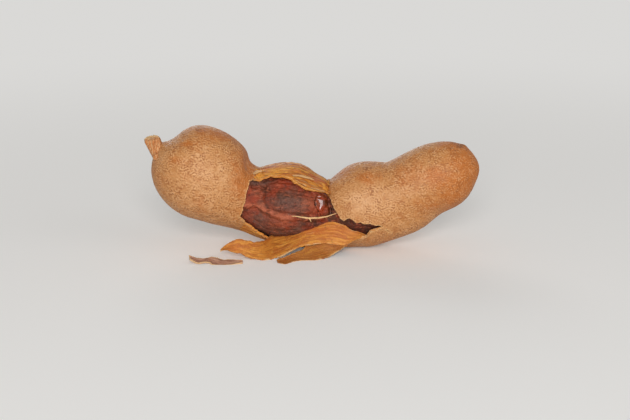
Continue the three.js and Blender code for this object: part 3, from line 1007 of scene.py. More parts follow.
def hole_tool(skin):
    """What breaks the hole: its walls stand square on the skin and open a little outwards."""
    surface = surface_of(skin)
    outline = torn_hole()
    count = len(outline)
    found = [on_surface(surface, p.x, p.y) for p in outline]
    inner, outer = [], []  # rings of the tool, from inside the pod out past its swelling
    for i, (place, _) in enumerate(found):
        normal = sum((found[(i + k) % count][1] for k in range(-4, 5)), Vector()).normalized()
        before, after = outline[i - 2], outline[(i + 2) % count]
        run = (after - before).normalized()
        away = Vector((-run.y, 0, 0)) + BREAK_UP * run.x
        away -= normal * away.dot(normal)
        inner.append(place - normal * WALL_INSIDE - away * WALL_OPENING)
        outer.append(place + normal * WALL_OUTSIDE + away * WALL_OPENING)
    rings = [[p - BREAK_OUT * TOOL_INSIDE for p in inner], inner, outer,
             [p + BREAK_OUT * TOOL_OUTSIDE for p in outer]]
    pick_nothing()
    bpy.ops.mesh.primitive_circle_add(vertices=count, radius=10 * MM, fill_type="NGON")
    tool = named("hole_tool")
    bpy.ops.object.mode_set(mode="EDIT")
    bpy.ops.mesh.select_all(action="SELECT")
    for _ in rings[1:]:
        draw_out((0, 0, MM))
    bpy.ops.object.mode_set(mode="OBJECT")
    put_points(tool, sum(rings, []))
    bpy.ops.object.mode_set(mode="EDIT")
    face_outwards()
    bpy.ops.mesh.quads_convert_to_tris()
    bpy.ops.object.mode_set(mode="OBJECT")
    return tool


# Shreds on the hole's upper edge: the upper and lower line of each, as x, height and lift off the skin, and
# how pale it is.
SHREDS = (
    (((-18.4, 21.5, 0.1), (-17.0, 22.2, 0.3), (-15.2, 22.2, 0.1)),
     ((-18.2, 20.8, 0.6), (-16.9, 21.4, 0.8), (-15.4, 21.6, 0.5)), 0.5),
    (((-6.6, 21.0, 0.1), (-4.2, 20.8, 0.3), (-2.0, 20.2, 0.3), (-0.2, 19.4, 0.1)),
     ((-6.4, 20.4, 0.4), (-4.2, 20.0, 0.8), (-2.1, 19.5, 0.8), (-0.4, 18.9, 0.5)), 0.55),
    (((-6.3, 20.2, 0.1), (-3.9, 19.3, 0.3), (-1.7, 18.2, 0.3), (0.5, 17.3, 0.3), (2.6, 16.6, 0.1)),
     ((-6.4, 19.5, 0.5), (-4.5, 18.2, 0.9), (-2.5, 16.9, 1.1), (0.0, 16.0, 1.1), (2.4, 15.8, 0.6)), 0.0),
)
SHRED_STEPS, SHRED_THICKNESS = (48, 8), 0.22 * MM
SHRED_RAGGED, SHRED_SEED = 0.16, 30.0  # the share of its width that a torn edge takes, and how it falls


def mark_faces(piece, number):
    """Gives all of a tool's faces one material number, which its cut leaves behind."""
    for _ in range(number + 1):
        piece.data.materials.append(None)
    piece.data.polygons.foreach_set("material_index", [number] * len(piece.data.polygons))


class TAMARIND_OT_shell(Maker, bpy.types.Operator):
    """Model the shell of the pod, broken open at the front"""

    bl_idname = "tamarind.shell"
    bl_label = "Broken shell"

    def execute(self, context):
        shell = skin_body(self.sizes)
        tool = hole_tool(shell)
        cavity = pod_body("cavity", self.sizes.shell_wall, *CAVITY_RINGS)
        mark_faces(cavity, 1)
        mark_faces(tool, 2)
        for _ in range(3):
            shell.data.materials.append(None)
        shreds = self.hang_shreds(surface_of(shell))
        cut_away(shell, cavity)
        cut_away(shell, tool)
        points = points_of(shell)
        write_values(shell, "flaked", flaked_share(points))
        for name, patches in (("ruddy", RUDDY_PATCHES), ("dusty", PAINTED_SHEEN_PATCHES), ("stained", STAINS)):
            write_values(shell, name, patched(points, patches))
        write_values(shell, "edge", nearness(points, torn_hole(), TEAR_WIDTH))
        along, angle, away = pod_places(points).T
        write_places(shell, "laid", np.stack([along, np.radians(angle) * MEAN_RADIUS, away], axis=1))
        finishes = skin_finish(self.colours), lining_finish(self.colours), torn_finish(self.colours)
        for i, material in enumerate(finishes):
            shell.data.materials[i] = material
        join(shell, *shreds)
        finish_piece(shell, "shell_skin", "pod_shell")
        return {"FINISHED"}

    def hang_shreds(self, skin):
        """Shreds of the flaked layer that curl off the upper edge of the hole."""
        shreds = []
        for i, (upper, lower, paleness) in enumerate(SHREDS, 1):
            rows = [[tuple(on_surface(skin, x, height, lift)[0] / MM) for x, height, lift in line]
                    for line in (lower, middle_line(lower, upper), upper)]
            shred = sheet(f"shred_{i}", rows, SHRED_STEPS, SHRED_THICKNESS, SHRED_RAGGED, SHRED_SEED + i)
            finish = lining_finish(self.colours, f"shred_lining_{i}", self.colours.lining_pale, paleness)
            carry(shred, finish, finish, torn_finish(self.colours))
            shreds.append(shred)
        return shreds


def middle_line(lower, upper):
    """Half way between two lines, bulging a little."""
    return [((a + d) / 2, (b + e) / 2, (c + f) / 2 + 0.15) for (a, b, c), (d, e, f) in zip(lower, upper)]


# ---------------------------------------------------------------- pulp and vein

# The pulp's lumps: x and height of the middle, half length and half height, how far each is raised, and where
# they matter its turn in degrees and its power.
PULP_LUMPS = (
    ((-7.6, 12.4), (7.4, 3.6), 1.1, -4, 1.3),
    ((-9.6, 17.9), (4.4, 1.6), 0.7, 2),
    ((-16.6, 18.6), (2.4, 1.1), 0.5),
    ((-17.3, 15.8), (1.4, 1.0), 0.5),
    ((-18.0, 13.4), (1.8, 0.9), 0.35),
    ((-11, 6.3), (7.0, 2.4), 0.7, -6, 1.5),
    ((2.1, 13.0), (2.0, 2.6), 0.6),
    ((3.1, 10.4), (1.4, 1.5), 0.4),
)
# Its ridges and creases: route, half width, how far it is raised, or sunk where that is negative.
PULP_FOLDS = (
    (((-20.5, 11.9), (-17, 12.0), (-14, 10.2), (-10.5, 8.9), (-7, 8.4), (0, 8.0)), 0.6, 0.6),
    (((-20.5, 10.8), (-17.5, 10.8), (-14.5, 8.9), (-11, 7.9)), 0.45, -0.35),
    (((-18.6, 17.4), (-16, 17.3), (-14.2, 17.0)), 0.35, -0.5),
    (((-14.7, 17.6), (-15.2, 15.6), (-15.6, 13.2), (-14.6, 11.4)), 0.5, -0.3),
    (((-14.6, 16.3), (-9.2, 15.6), (-2.5, 14.8), (1.5, 14.4)), 0.35, -0.5),
    (((-13.5, 15.2), (-9, 14.9), (-4, 14.2), (0.5, 13.6)), 0.25, -0.2),
    (((-13.4, 18.3), (-10, 18.7), (-6.4, 18.2)), 0.3, -0.3),
    (((-12.6, 17.2), (-8.4, 17.0), (-3.4, 16.1)), 0.28, -0.3),
    (((-13.6, 10.9), (-10, 9.8), (-5, 9.3), (1, 9.6)), 0.4, -0.45),
    (((-18.2, 7.8), (-14.5, 5.4), (-10.4, 4.6), (-6.2, 5.2)), 0.4, -0.25),
    (((-5.6, 7.6), (-2.0, 6.9), (2.4, 7.2)), 0.4, -0.4),
    *((((x, 14.2), (x + 0.4, 12), (x + 0.9, 9.8)), 0.25, -0.28) for x in (-0.6, 0.5, 3.9, 4.7, 5.5)),
)
SEED_OVAL = (-8.0, 12.4), (6.6, 2.9)  # where the seed's round side shows
# The pulp's colours, laid as the lumps and folds are, with how much in place of how far.
PULP_PATCHES = {
    "dried": (
        (*SEED_OVAL, 0.9, -4, 2),
        ((-16.6, 18.8), (3.0, 1.2), 1.0),
        ((-5, 5.4), (2.0, 1.6), 0.7),
        ((-16.8, 7.6), (4.2, 2.4), 1.0, -38),
        ((-11, 3.8), (8, 1.6), 1.0),
    ),
    "ripe": (
        ((-17.3, 16.0), (1.2, 1.0), 0.9),
        ((-1.5, 12.6), (2.2, 2.0), 0.55),
        ((-9.5, 6.9), (3.0, 1.2), 0.5),
    ),
    "fresh": (
        ((-9.6, 18.0), (4.4, 1.5), 1.0),
        ((-18.0, 13.6), (2.0, 2.4), 0.6),
        ((-9.8, 7.2), (3.6, 1.6), 0.7),
        ((-1.6, 14.9), (3.6, 0.8), 0.8),
    ),
    "shaded": (
        ((0.0, 6.4), (4.6, 1.0), 0.75),
        ((14, 5.5), (8, 4), 0.9, 0, 2),
        ((5.2, 12), (1.1, 3.5), 0.7),
        ((-13.8, 16.6), (1.2, 1.6), 0.5),
        ((-17.6, 19.3), (2.6, 0.8), 0.6),
        ((-12.5, 19.9), (3.0, 0.7), 0.5),
    ),
    "ribbed": ((*SEED_OVAL, 1.0, -4, 2),),
}
PULP_STREAKS = {
    "ripe": (((-20.5, 11.9), (-17, 12.0), (-14, 10.4), (-10.5, 8.9), (-7, 8.4)), 0.8, 1.0),
    "shaded": (((-22.5, 8), (-20, 5.4), (-16, 3.2), (-12, 2.2), (-6, 3)), 1.0, 0.85),
}


def fold(x, height, route, width, rise):
    """A ridge, or a crease if it is negative, along a route of seen places."""
    line = smooth_curve(route, 12)
    away = np.min([np.hypot(x - px, height - ph) for px, ph in line], axis=0)
    return rise * np.exp(-((away / width) ** 2))


def facing(points):
    """1 on the pod's front half, and 0 past a narrow strip behind it."""
    return smooth_step(points[:, 1], POD_PLACE.y + 4 * MM, POD_PLACE.y)


def pulp_relief(points):
    """How far each place of the pulp is raised, in millimetres, with its lines and borders made uneven."""
    x, height = seen(points)
    x = x + 0.5 * noise_at(points, 2.4 * MM, 7.0)
    height = height + 0.4 * noise_at(points, 1.9 * MM, 17.0)
    raised = sum(bump(x, height, *lump) for lump in PULP_LUMPS)
    raised += sum(fold(x, height, *line) for line in PULP_FOLDS)
    return raised * facing(points)


# The wet drops on the pulp's right side: x and height of the middle, and half the width and height.
DROPS = (
    ((2.0, 12.9), (1.2, 1.9)),
    ((3.2, 10.2), (1.0, 1.1)),
)
DROPS_TILT = math.radians(17)
DROPS_FACE = Vector((0, -math.cos(DROPS_TILT), math.sin(DROPS_TILT)))
DROP_RISE = 0.2 * MM
DROP_FLATNESS = 0.85  # from 0 to 1
FINE_REACH = 24 * MM  # how far along the pod from its middle the pulp's mesh is made finer
WET_MARGIN = 0.6  # how far the pulp is wet round each drop, in millimetres
WET_ENOUGH = 0.3  # how wet a face is all over that has the wet finish


def wetness(x, height):
    """How wet the pulp is at a seen place, from 0 to 1."""
    wet = (bump(x, height, at, (half_x + WET_MARGIN, half_height + WET_MARGIN), 1.4, 0, 2)
           for at, (half_x, half_height) in DROPS)
    return np.clip(sum(wet), 0, 1)


class TAMARIND_OT_pulp(Maker, bpy.types.Operator):
    """Model the sticky pulp that shows in the hole"""

    bl_idname = "tamarind.pulp"
    bl_label = "Pulp"

    def execute(self, context):
        pulp = pod_body("sticky_pulp", self.sizes.shell_wall + self.sizes.pulp_gap, *PULP_RINGS)
        self.refine_front(pulp)
        roughen(pulp, "pulp_lumps", 3.5 * MM, 0.5 * MM, noise_depth=3)
        points = points_of(pulp)
        grain = 0.16 * noise_at(points, 0.9 * MM, 5.0, 3) * (1 - wetness(*seen(points)))
        emboss(pulp, (pulp_relief(points) + grain) * MM)
        self.lay_drops(pulp)
        self.colour_patches(pulp)
        carry(pulp, pulp_finish(self.colours), pulp_finish(self.colours, "wet_pulp", 1.0))
        finish_piece(pulp, "pulp", "pulp", angle=60)
        return {"FINISHED"}

    def refine_front(self, pulp):
        """Makes the mesh finer where it shows."""
        pick(pulp)
        bpy.ops.object.mode_set(mode="EDIT")
        for _ in range(2):
            mesh = bmesh.from_edit_mesh(pulp.data)
            bpy.ops.mesh.select_all(action="DESELECT")
            for face in mesh.faces:
                middle = face.calc_center_median()
                face.select = abs(middle.x - POD_PLACE.x) < FINE_REACH and middle.y < POD_PLACE.y + MM
            mesh.select_flush_mode()
            bpy.ops.mesh.subdivide(number_cuts=1)
        bpy.ops.object.mode_set(mode="OBJECT")

    def lay_drops(self, pulp):
        """Flattens the wet drops, so that each shines as one."""
        points = points_of(pulp)
        x, height = seen(points)
        for at, half in DROPS:
            share = bump(x, height, at, half, 1.0, 0, 2) * (points[:, 1] < POD_PLACE.y)
            middle = (points * share[:, None]).sum(axis=0) / share.sum()
            depth = (middle - points) @ np.array(DROPS_FACE) + DROP_RISE
            points += (DROP_FLATNESS * share * depth)[:, None] * np.array(DROPS_FACE)
        put_points(pulp, points)

    def colour_patches(self, pulp):
        """Keeps how far each colour covers each vertex, and gives the wet faces the wet finish."""
        points = points_of(pulp)
        wet = wetness(*seen(points))
        x, height = seen(points)
        x = x + 0.8 * noise_at(points, 1.7 * MM, 21.0)
        height = height + 0.6 * noise_at(points, 1.5 * MM, 27.0)
        for name, patches in PULP_PATCHES.items():
            share = sum(bump(x, height, *patch) for patch in patches)
            if name in PULP_STREAKS:
                share += fold(x, height, *PULP_STREAKS[name])
            write_values(pulp, name, np.clip(share, 0, 1))
        write_values(pulp, "wet", wet)
        for face in pulp.data.polygons:
            face.material_index = int(min(wet[face.vertices]) > WET_ENOUGH)


# The vein lies on the pulp along these seen places.
VEIN_ROUTE = ((-6.9, 8.9), (-4.0, 8.5), (-1.5, 8.2), (1.5, 8.5), (4.0, 9.0), (6.3, 9.6))
VEIN_BRANCH = ((-1.9, 8.3), (-1.5, 7.9), (-1.2, 7.3))


class TAMARIND_OT_vein(Maker, bpy.types.Operator):
    """Model the dry vein that lies on the pulp"""

    bl_idname = "tamarind.vein"
    bl_label = "Vein"

    def execute(self, context):
        surface = surface_of(bpy.data.objects["sticky_pulp"])
        radius = self.sizes.vein_radius
        strands = [self.strand(surface, route, radius * share)
                   for route, share in ((VEIN_ROUTE, 1.0), (VEIN_BRANCH, 0.7))]
        join(*strands)
        vein = named("dry_vein")
        settle(vein)
        carry(vein, vein_finish(self.colours))
        finish_piece(vein, "fibre", "fibre_strand", angle=60)
        return {"FINISHED"}

    def strand(self, surface, route, radius):
        """One round strand of the vein, laid on the pulp and thinner towards its ends."""
        pick_nothing()
        bpy.ops.curve.primitive_nurbs_path_add()
        strand = bpy.context.object
        line = strand.data.splines[0]
        laid = smooth_curve(route, 5)
        line.points.add(len(laid) - len(line.points))
        for i, (point, (x, height)) in enumerate(zip(line.points, laid)):
            place, _ = on_surface(surface, x, height, 0.8 * radius / MM)
            share = i / (len(laid) - 1)
            point.co = (*place, 1)
            point.radius = 0.3 + 0.7 * min(1, 3.5 * share, 2.2 - 2 * share) + 0.12 * math.sin(i * 2.1)
        line.use_endpoint_u = True
        line.resolution_u = 4
        strand.data.bevel_depth = radius
        strand.data.bevel_resolution = 3
        strand.data.use_fill_caps = True
        bpy.ops.object.convert(target="MESH")
        return bpy.context.object


# ---------------------------------------------------------------- stalk

# The stub, from its foot inside the shell up to its broken end: x and height as seen square to the break,
# lean in degrees, and half its width in millimetres.
STALK_RINGS = (
    (-44.4, 25.6, -22, 2.9),
    (-45.4, 27.0, -22, 2.6),
    (-46.5, 28.5, -20, 2.35),
    (-47.2, 29.8, -16, 2.2),
    (-47.6, 30.8, -13, 2.25),
    (-47.9, 31.4, -12, 2.35),
    (-48.0, 31.8, -12, 2.1),
    (-48.05, 31.95, -12, 1.2),
)
STALK_SIDES = 26
STALK_DEPTH = 1.05  # depth over width
STALK_MIDDLE = (-46.8, -3.0)  # x and y, for the ribs round it
SCAR = (-46.35, 27.5, -3.15, 1.2)  # the round scar at its foot: x, height, y, radius


def upright_height(height):
    """How high a place in the pod's middle plane stands upright, in metres, from its seen height."""
    lifted = height * MM - PIVOT_HEIGHT * math.cos(BREAK_TILT)
    return PIVOT_HEIGHT + lifted / math.cos(BREAK_TILT + FORWARD_LEAN)


class TAMARIND_OT_stalk(Maker, bpy.types.Operator):
    """Model the broken stalk"""

    bl_idname = "tamarind.stalk"
    bl_label = "Stalk"

    def execute(self, context):
        share = self.sizes.stalk_width / (2 * STALK_RINGS[-3][3] * MM)
        places = [(x * MM, upright_height(height), math.radians(turn), half * share * MM)
                  for x, height, turn, half in STALK_RINGS]
        stalk = drawn_out("broken_stalk", STALK_SIDES, places, "NGON")
        face_outwards()
        bpy.ops.transform.resize(value=(1, STALK_DEPTH, 1), center_override=(0, 0, 0))
        bpy.ops.object.mode_set(mode="OBJECT")
        stand_in_pod(stalk)
        subdivide(stalk, 2)
        points = points_of(stalk)
        x, height = seen(points)
        y = (points[:, 1] - POD_PLACE.y) / MM
        turn = np.arctan2(y - STALK_MIDDLE[1], x - STALK_MIDDLE[0])
        up = height - 0.22 * (x + 48)  # square to the stalk, which leans
        ribs = 0.10 * np.sin(turn * 8 + 0.5 * up) + 0.07 * np.sin(turn * 15 + 2)
        ragged = noise_at(np.stack([x, y, y * 0], axis=1), 0.8, 5.0, 3)
        end = smooth_step(up, 31.0, 32.2)
        emboss(stalk, (ribs * smooth_step(up, 27.5, 29.5) + ragged * 0.45 * end) * MM)
        write_values(stalk, "broken", np.clip(smooth_step(up + 0.5 * ragged, 31.4, 32.1), 0, 1))
        roughen(stalk, "stalk_grain", 0.7 * MM, 0.14 * MM, noise_depth=2)
        join(stalk, self.scar())
        carry(stalk, stalk_finish(self.colours))
        finish_piece(stalk, "stalk_wood", "stalk", angle=50)
        return {"FINISHED"}

    def scar(self):
        """The small round scar where a leaf stood, half sunk in the foot of the stalk."""
        x, height, y, radius = SCAR
        pick_nothing()
        bpy.ops.mesh.primitive_uv_sphere_add(segments=20, ring_count=12, radius=radius * MM,
                                             location=(x * MM, y * MM, upright_height(height)))
        scar = named("scar")
        stand_in_pod(scar)
        roughen(scar, "scar_lumps", 0.9 * MM, 0.25 * MM, noise_depth=1)
        return scar


# ---------------------------------------------------------------- flaps, shreds and chip


PALE_EDGE = (0.45, 0.1)  # how far in from a torn edge it starts and is fully pale, in millimetres


def laid_on_net(rows, u, v):
    """Places on a smooth surface through a net of points, at shares u along its rows and v across them."""
    lines = np.array([smooth_curve(line, 20) for line in rows])
    last = len(lines[0]) - 1
    along = [np.stack([np.interp(u * last, range(last + 1), line[:, k]) for k in range(3)], axis=1)
             for line in lines]
    along = np.array([2 * along[0] - along[1], *along, 2 * along[-1] - along[-2]])
    across = v * (len(rows) - 1)
    i = np.clip(across.astype(int), 0, len(rows) - 2)
    t, each = (across - i)[:, None], np.arange(len(u))
    a, b, c, d = (along[i + k, each] for k in range(4))
    return 0.5 * (2 * b + (c - a) * t + (2 * a - 5 * b + 4 * c - d) * t**2 + (3 * b - a - 3 * c + d) * t**3)


def sheet(name, net_rows, steps, thickness, ragged, seed):
    """A thin piece of shell: a flat grid laid on a net of points, torn along its long edges and thickened.

    The net's rows run along the piece, and its points are in millimetres in the frame.
    """
    pick_nothing()
    bpy.ops.mesh.primitive_grid_add(x_subdivisions=steps[0], y_subdivisions=steps[1], size=1)
    piece = named(name)
    points = points_of(piece)
    u, v = points[:, 0] + 0.5, points[:, 1] + 0.5
    first, last = net_rows[0], net_rows[-1]
    long_way = sum(math.dist(a, b) for a, b in zip(first, first[1:]))
    short_way = math.dist(first[len(first) // 2], last[len(first) // 2])
    low, high = (noise_at(np.stack([u * long_way + start, v * 0, v * 0], axis=1), 1.6, seed, 5)
                 for start in (40, 80))
    low, high = ragged * (0.5 + low), ragged * (0.5 + high)
    v = low + v * (1 - low - high)
    put_points(piece, laid_on_net(net_rows, u, v) * MM)
    write_places(piece, "laid", np.stack([u * long_way, v * short_way, v * 0 + seed], axis=1))
    from_edge = np.minimum(np.minimum(points[:, 1] + 0.5, 0.5 - points[:, 1]) * short_way, u * long_way)
    write_values(piece, "edge", smooth_step(from_edge, *PALE_EDGE))
    modify(piece, "SOLIDIFY", thickness=thickness, offset=-1, material_offset=1, material_offset_rim=2)
    return piece


def seen_place(x, height, y):
    """The place, in millimetres in the frame, that the camera sees at x and height and that lies at y."""
    aim, distance = CAMERA_HEIGHT / MM, CAMERA_DISTANCE / MM
    rise, reach = math.sin(CAMERA_ELEVATION), math.cos(CAMERA_ELEVATION)
    z = 0
    for _ in range(3):
        shrink = 1 - ((z - aim) * rise - y * reach) / distance
        z = (aim * reach + (height - aim * reach) * shrink - y * rise) / reach
    return tuple(Vector((x * shrink, y, z)) + POD_PLACE / MM)


def between(near, far, share, sag):
    """A row between two others, sagging below the straight line between them."""
    return [tuple(Vector(a).lerp(Vector(b), share) - Vector((0, 0, sag))) for a, b in zip(near, far)]


# The edges of the torn pieces: x and height as the camera sees them, and how far back they lie.
LONG_FLAP_NEAR = (
    (-28.5, -1.35, -14.0), (-26.6, -1.4, -14.2), (-24.5, -2.1, -14.6), (-22.3, -2.6, -15.0),
    (-20.4, -3.5, -15.4), (-18.4, -4.1, -15.8), (-15.9, -4.4, -16.0), (-12.9, -4.2, -15.6),
    (-10.3, -3.2, -14.8), (-8.1, -2.2, -14.0), (-6.0, -1.0, -13.2), (-3.5, -0.2, -12.6),
    (-0.5, 0.2, -12.2), (3.0, 0.3, -11.8), (6.0, 0.15, -11.4), (9.0, -0.1, -11.0),
    (11.6, 1.3, -10.4), (15.2, 2.7, -8.8),
)
LONG_FLAP_FAR = (
    (-28.4, -1.1, -13.8), (-26.7, 0.4, -13.4), (-24.9, 1.4, -12.8), (-23.5, 2.3, -12.0),
    (-20.8, 2.0, -11.6), (-18.3, 1.4, -10.8), (-15.8, 1.6, -9.0), (-13.2, 3.4, -4.2),
    (-10.2, 3.9, -5.0), (-7.4, 4.3, -6.2), (-4.6, 5.1, -7.2), (-2.2, 5.9, -7.6),
    (1.5, 6.7, -7.4), (5.2, 7.4, -7.6), (7.8, 7.0, -8.2), (10.6, 5.3, -9.4),
    (12.8, 4.3, -9.6), (15.4, 3.3, -8.6),
)
SHORT_FLAP_NEAR = (
    (-11.2, -4.9, -18.2), (-9.2, -5.5, -19.6), (-5.4, -4.6, -16.6), (-2.0, -4.4, -15.9), (1.5, -4.3, -15.6),
    (4.5, -3.2, -13.4), (6.9, -1.7, -12.2), (8.4, -0.6, -11.4), (9.5, 0.5, -10.9),
)
SHORT_FLAP_FAR = (
    (-11.5, -4.1, -17.0), (-9.6, -3.3, -16.0), (-6.9, -2.1, -14.6), (-4.6, -1.4, -13.0), (-2.1, 0.4, -11.0),
    (1.5, 1.2, -10.3), (5.0, 1.4, -10.2), (7.6, 1.4, -10.2), (9.8, 1.4, -10.4),
)
CHIP_NEAR = (
    (-37.4, -4.0, -19.6), (-35.1, -5.1, -19.8), (-33.0, -4.8, -19.6), (-31.9, -5.0, -19.6),
    (-30.7, -5.7, -20.2), (-27.9, -5.9, -20.4), (-24.9, -5.6, -20.0), (-21.7, -4.9, -19.0),
)
CHIP_FAR = (
    (-37.8, -2.6, -18.2), (-35.6, -3.4, -18.0), (-33.0, -3.6, -17.8), (-31.0, -3.2, -17.6),
    (-29.3, -3.3, -17.6), (-28.2, -3.8, -17.8), (-25.0, -3.95, -18.0), (-21.6, -4.3, -18.2),
)
# How each is laid: how far its middle sags in millimetres, its grid, the share of its width that a torn edge
# takes, and how that falls.
LONG_FLAP_LAY = (0.1, (150, 24), 0.06, 11.0)
SHORT_FLAP_LAY = (0.3, (90, 18), 0.06, 12.0)
CHIP_LAY = (0.3, (90, 16), 0.08, 13.0)
TABLE_GAP = 0.02 * MM  # how little they stay clear of the table

SHORT_FLAP_SHADE = 0.52  # how much darker its inner side is painted: painted shade
# Where the flaps' inner side is redder: x and height as seen, half length, half height, how much.
RED_LINING = (
    (-1.0, 4.9, 4.2, 0.9, 0.9),
    (-23.5, -0.4, 2.6, 1.4, 0.6),
    (-14.5, 2.0, 2.2, 0.9, 0.4),
    (5.5, 4.4, 6.5, 2.2, 0.5),
    (-8.8, -3.6, 1.6, 1.2, 0.5),
)


def flap(name, near, far, thickness, sag, steps, ragged, seed):
    """A torn piece of shell that lies on the table between a near and a far edge."""
    near, far = ([seen_place(*place) for place in line] for line in (near, far))
    middle = [between(near, far, share, sag * 4 * share * (1 - share)) for share in (0.33, 0.67)]
    piece = sheet(name, [near, *middle, far], steps, thickness, ragged, seed)
    subdivide(piece, 1)
    points = points_of(piece)
    points[:, 2] = np.maximum(points[:, 2], TABLE_GAP)
    put_points(piece, points)
    return piece


class TAMARIND_OT_flaps(Maker, bpy.types.Operator):
    """Model the two flaps of shell that are peeled down to the table"""

    bl_idname = "tamarind.flaps"
    bl_label = "Peeled flaps"

    def execute(self, context):
        thick = self.sizes.flap_thickness
        long_flap = flap("long_flap", LONG_FLAP_NEAR, LONG_FLAP_FAR, thick, *LONG_FLAP_LAY)
        short_flap = flap("short_flap", SHORT_FLAP_NEAR, SHORT_FLAP_FAR, thick, *SHORT_FLAP_LAY)
        lining, skin, torn = lining_finish(self.colours), skin_finish(self.colours), torn_finish(self.colours)
        # The short flap's inner side is the same lining with painted shade, mixed towards the dark lining
        # colour.
        shaded_inside = lining_finish(self.colours, "short_flap_lining", self.colours.lining_dark, SHORT_FLAP_SHADE)
        for piece, inside, replaced in ((long_flap, lining, "shell_flap_long"),
                                        (short_flap, shaded_inside, "shell_flap_short")):
            write_values(piece, "ruddy", patched(points_of(piece), RED_LINING))
            carry(piece, inside, skin, torn)
            finish_piece(piece, "shell_lining", replaced)
        return {"FINISHED"}


class TAMARIND_OT_chip(Maker, bpy.types.Operator):
    """Model the loose chip of shell on the table"""

    bl_idname = "tamarind.chip"
    bl_label = "Loose chip"

    def execute(self, context):
        chip = flap("loose_chip", CHIP_NEAR, CHIP_FAR, self.sizes.flap_thickness, *CHIP_LAY)
        carry(chip, chip_finish(self.colours), skin_finish(self.colours), torn_finish(self.colours))
        finish_piece(chip, "shell_chip", "shell_chip")
        return {"FINISHED"}


# ---------------------------------------------------------------- stage

SURROUND = 0.70  # how bright the surround and the far floor are seen
SURROUND_COLOUR = (1.0, 0.985, 0.96)
SURROUND_LIGHT = 0.25  # how brightly the surround lights the pod
FLOOR_SIZE = 30  # metres
FLOOR_FADE = (60, 400)  # how far away the floor starts and ends to fade into the surround, in millimetres
FLOOR_GLOW = 0.08  # how much paler the floor is seen than the lamps make it

# The lamps: name, place and size in metres, and whose power each has.
LAMPS = (
    ("main_lamp", (0.0, -1.19, 0.44), 0.53, "main_power"),
    ("fill_lamp", (0.80, -0.50, 0.40), 0.70, "fill_power"),
    ("back_lamp", (-0.25, 1.10, 0.34), 0.80, "back_power"),
)
AIM = Vector((POD_PLACE.x, POD_PLACE.y, CAMERA_HEIGHT))


def aimed(direction):
    """How a lamp or a camera is turned to look along a direction."""
    return direction.to_track_quat("-Z", "Y").to_euler()


def seen_rays(tree):
    """1 where the surround is seen, straight or in a shine, and 0 where it only lights the pod."""
    ray = node(tree, "LightPath").outputs
    return plus(tree, plus(tree, ray["Is Camera Ray"], ray["Is Glossy Ray"]), ray["Is Transmission Ray"])


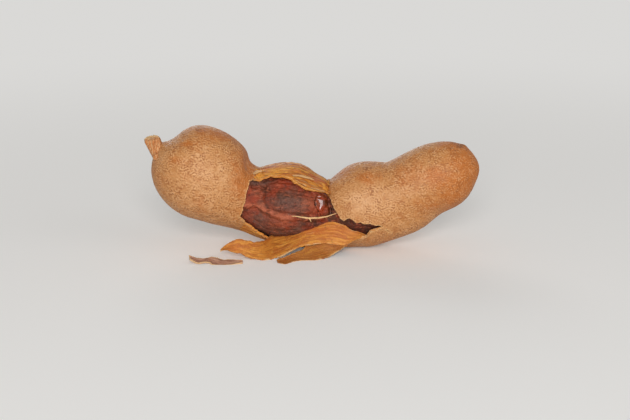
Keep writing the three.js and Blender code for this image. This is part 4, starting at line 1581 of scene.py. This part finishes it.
class TAMARIND_OT_stage(Maker, bpy.types.Operator):
    """Set up the floor, the lamps and the camera"""

    bl_idname = "tamarind.stage"
    bl_label = "Stage"

    def execute(self, context):
        look = context.scene.tamarind_stage
        self.lay_floor(look)
        for name, place, size, whose in LAMPS:
            pick_nothing()
            bpy.ops.object.light_add(type="AREA", location=place, rotation=aimed(AIM - Vector(place)))
            lamp = bpy.context.object
            lamp.name = name
            lamp.data.size = size
            lamp.data.energy = getattr(look, whose)
        self.set_camera(context.scene)
        self.set_world(context.scene)
        context.scene.view_settings.view_transform = "Standard"
        return {"FINISHED"}

    def lay_floor(self, look):
        """A plain pale floor, which fades into the surround far away from the pod."""
        pick_nothing()
        bpy.ops.mesh.primitive_plane_add(size=FLOOR_SIZE)
        floor = named("floor")
        pale, tree, shader = new_finish("pale_floor", 0.9, Specular_IOR_Level=0.0)
        shader.inputs["Emission Color"].default_value = (*look.floor, 1)
        away = math_node(tree, "VectorMath", "LENGTH", (place_in_mm(tree),))["Value"]
        seen_ray = seen_rays(tree)
        faded = times(tree, seen_ray, ranged(tree, away, *FLOOR_FADE))
        tree.links.new(mixed(tree, faded, look.floor, (0.0, 0.0, 0.0)), shader.inputs["Base Color"])
        glow = ranged(tree, away, *FLOOR_FADE, FLOOR_GLOW, SURROUND / look.floor[0])
        tree.links.new(times(tree, seen_ray, glow), shader.inputs["Emission Strength"])
        carry(floor, pale)

    def set_camera(self, scene):
        """The camera looks at the pod from a little above."""
        back = Vector((0, -math.cos(CAMERA_ELEVATION), math.sin(CAMERA_ELEVATION)))
        bpy.ops.object.camera_add(location=AIM + back * CAMERA_DISTANCE, rotation=aimed(-back))
        camera = bpy.context.object
        camera.data.lens = CAMERA_LENS
        camera.data.clip_start = 0.01
        scene.camera = camera

    def set_world(self, scene):
        """A pale surround that lights the pod softly."""
        world = bpy.data.worlds.new("pale_surround")
        scene.world = world
        world.use_nodes = True
        tree = world.node_tree
        sky = tree.nodes["Background"]
        sky.inputs["Color"].default_value = (*SURROUND_COLOUR, 1)
        strength = ranged(tree, seen_rays(tree), 0, 1, SURROUND_LIGHT, SURROUND, "LINEAR")
        tree.links.new(strength, sky.inputs["Strength"])


# ---------------------------------------------------------------- panel and registering

MAKING_ORDER = ("shell", "pulp", "vein", "stalk", "flaps", "chip", "stage")


class TAMARIND_PT_pieces(bpy.types.Panel):
    """The pieces of the pod, in the order they are made"""

    bl_label = "Tamarind pod"
    bl_idname = "TAMARIND_PT_pieces"
    bl_space_type = "VIEW_3D"
    bl_region_type = "UI"
    bl_category = "Tamarind"

    def draw(self, context):
        for name in MAKING_ORDER:
            self.layout.operator(f"tamarind.{name}")
        for group in ("tamarind_sizes", "tamarind_colours", "tamarind_stage"):
            box = self.layout.box()
            values = getattr(context.scene, group)
            for name in values.__annotations__:
                box.prop(values, name)


PROPERTY_GROUPS = {
    "tamarind_sizes": TamarindSizes,
    "tamarind_colours": TamarindColours,
    "tamarind_stage": TamarindStage,
}
CLASSES = (
    *PROPERTY_GROUPS.values(),
    TAMARIND_OT_shell,
    TAMARIND_OT_pulp,
    TAMARIND_OT_vein,
    TAMARIND_OT_stalk,
    TAMARIND_OT_flaps,
    TAMARIND_OT_chip,
    TAMARIND_OT_stage,
    TAMARIND_PT_pieces,
)


def register():
    """Makes the operators, the panel and the user's values known to Blender."""
    for cls in CLASSES:
        bpy.utils.register_class(cls)
    for name, group in PROPERTY_GROUPS.items():
        setattr(bpy.types.Scene, name, bpy.props.PointerProperty(type=group))


def unregister():
    """Takes all of it out again, the other way round."""
    for name in PROPERTY_GROUPS:
        delattr(bpy.types.Scene, name)
    for cls in reversed(CLASSES):
        bpy.utils.unregister_class(cls)


def main():
    """Makes every piece and the stage."""
    register()
    for name in MAKING_ORDER:
        getattr(bpy.ops.tamarind, name)()


if __name__ == "__main__":
    main()
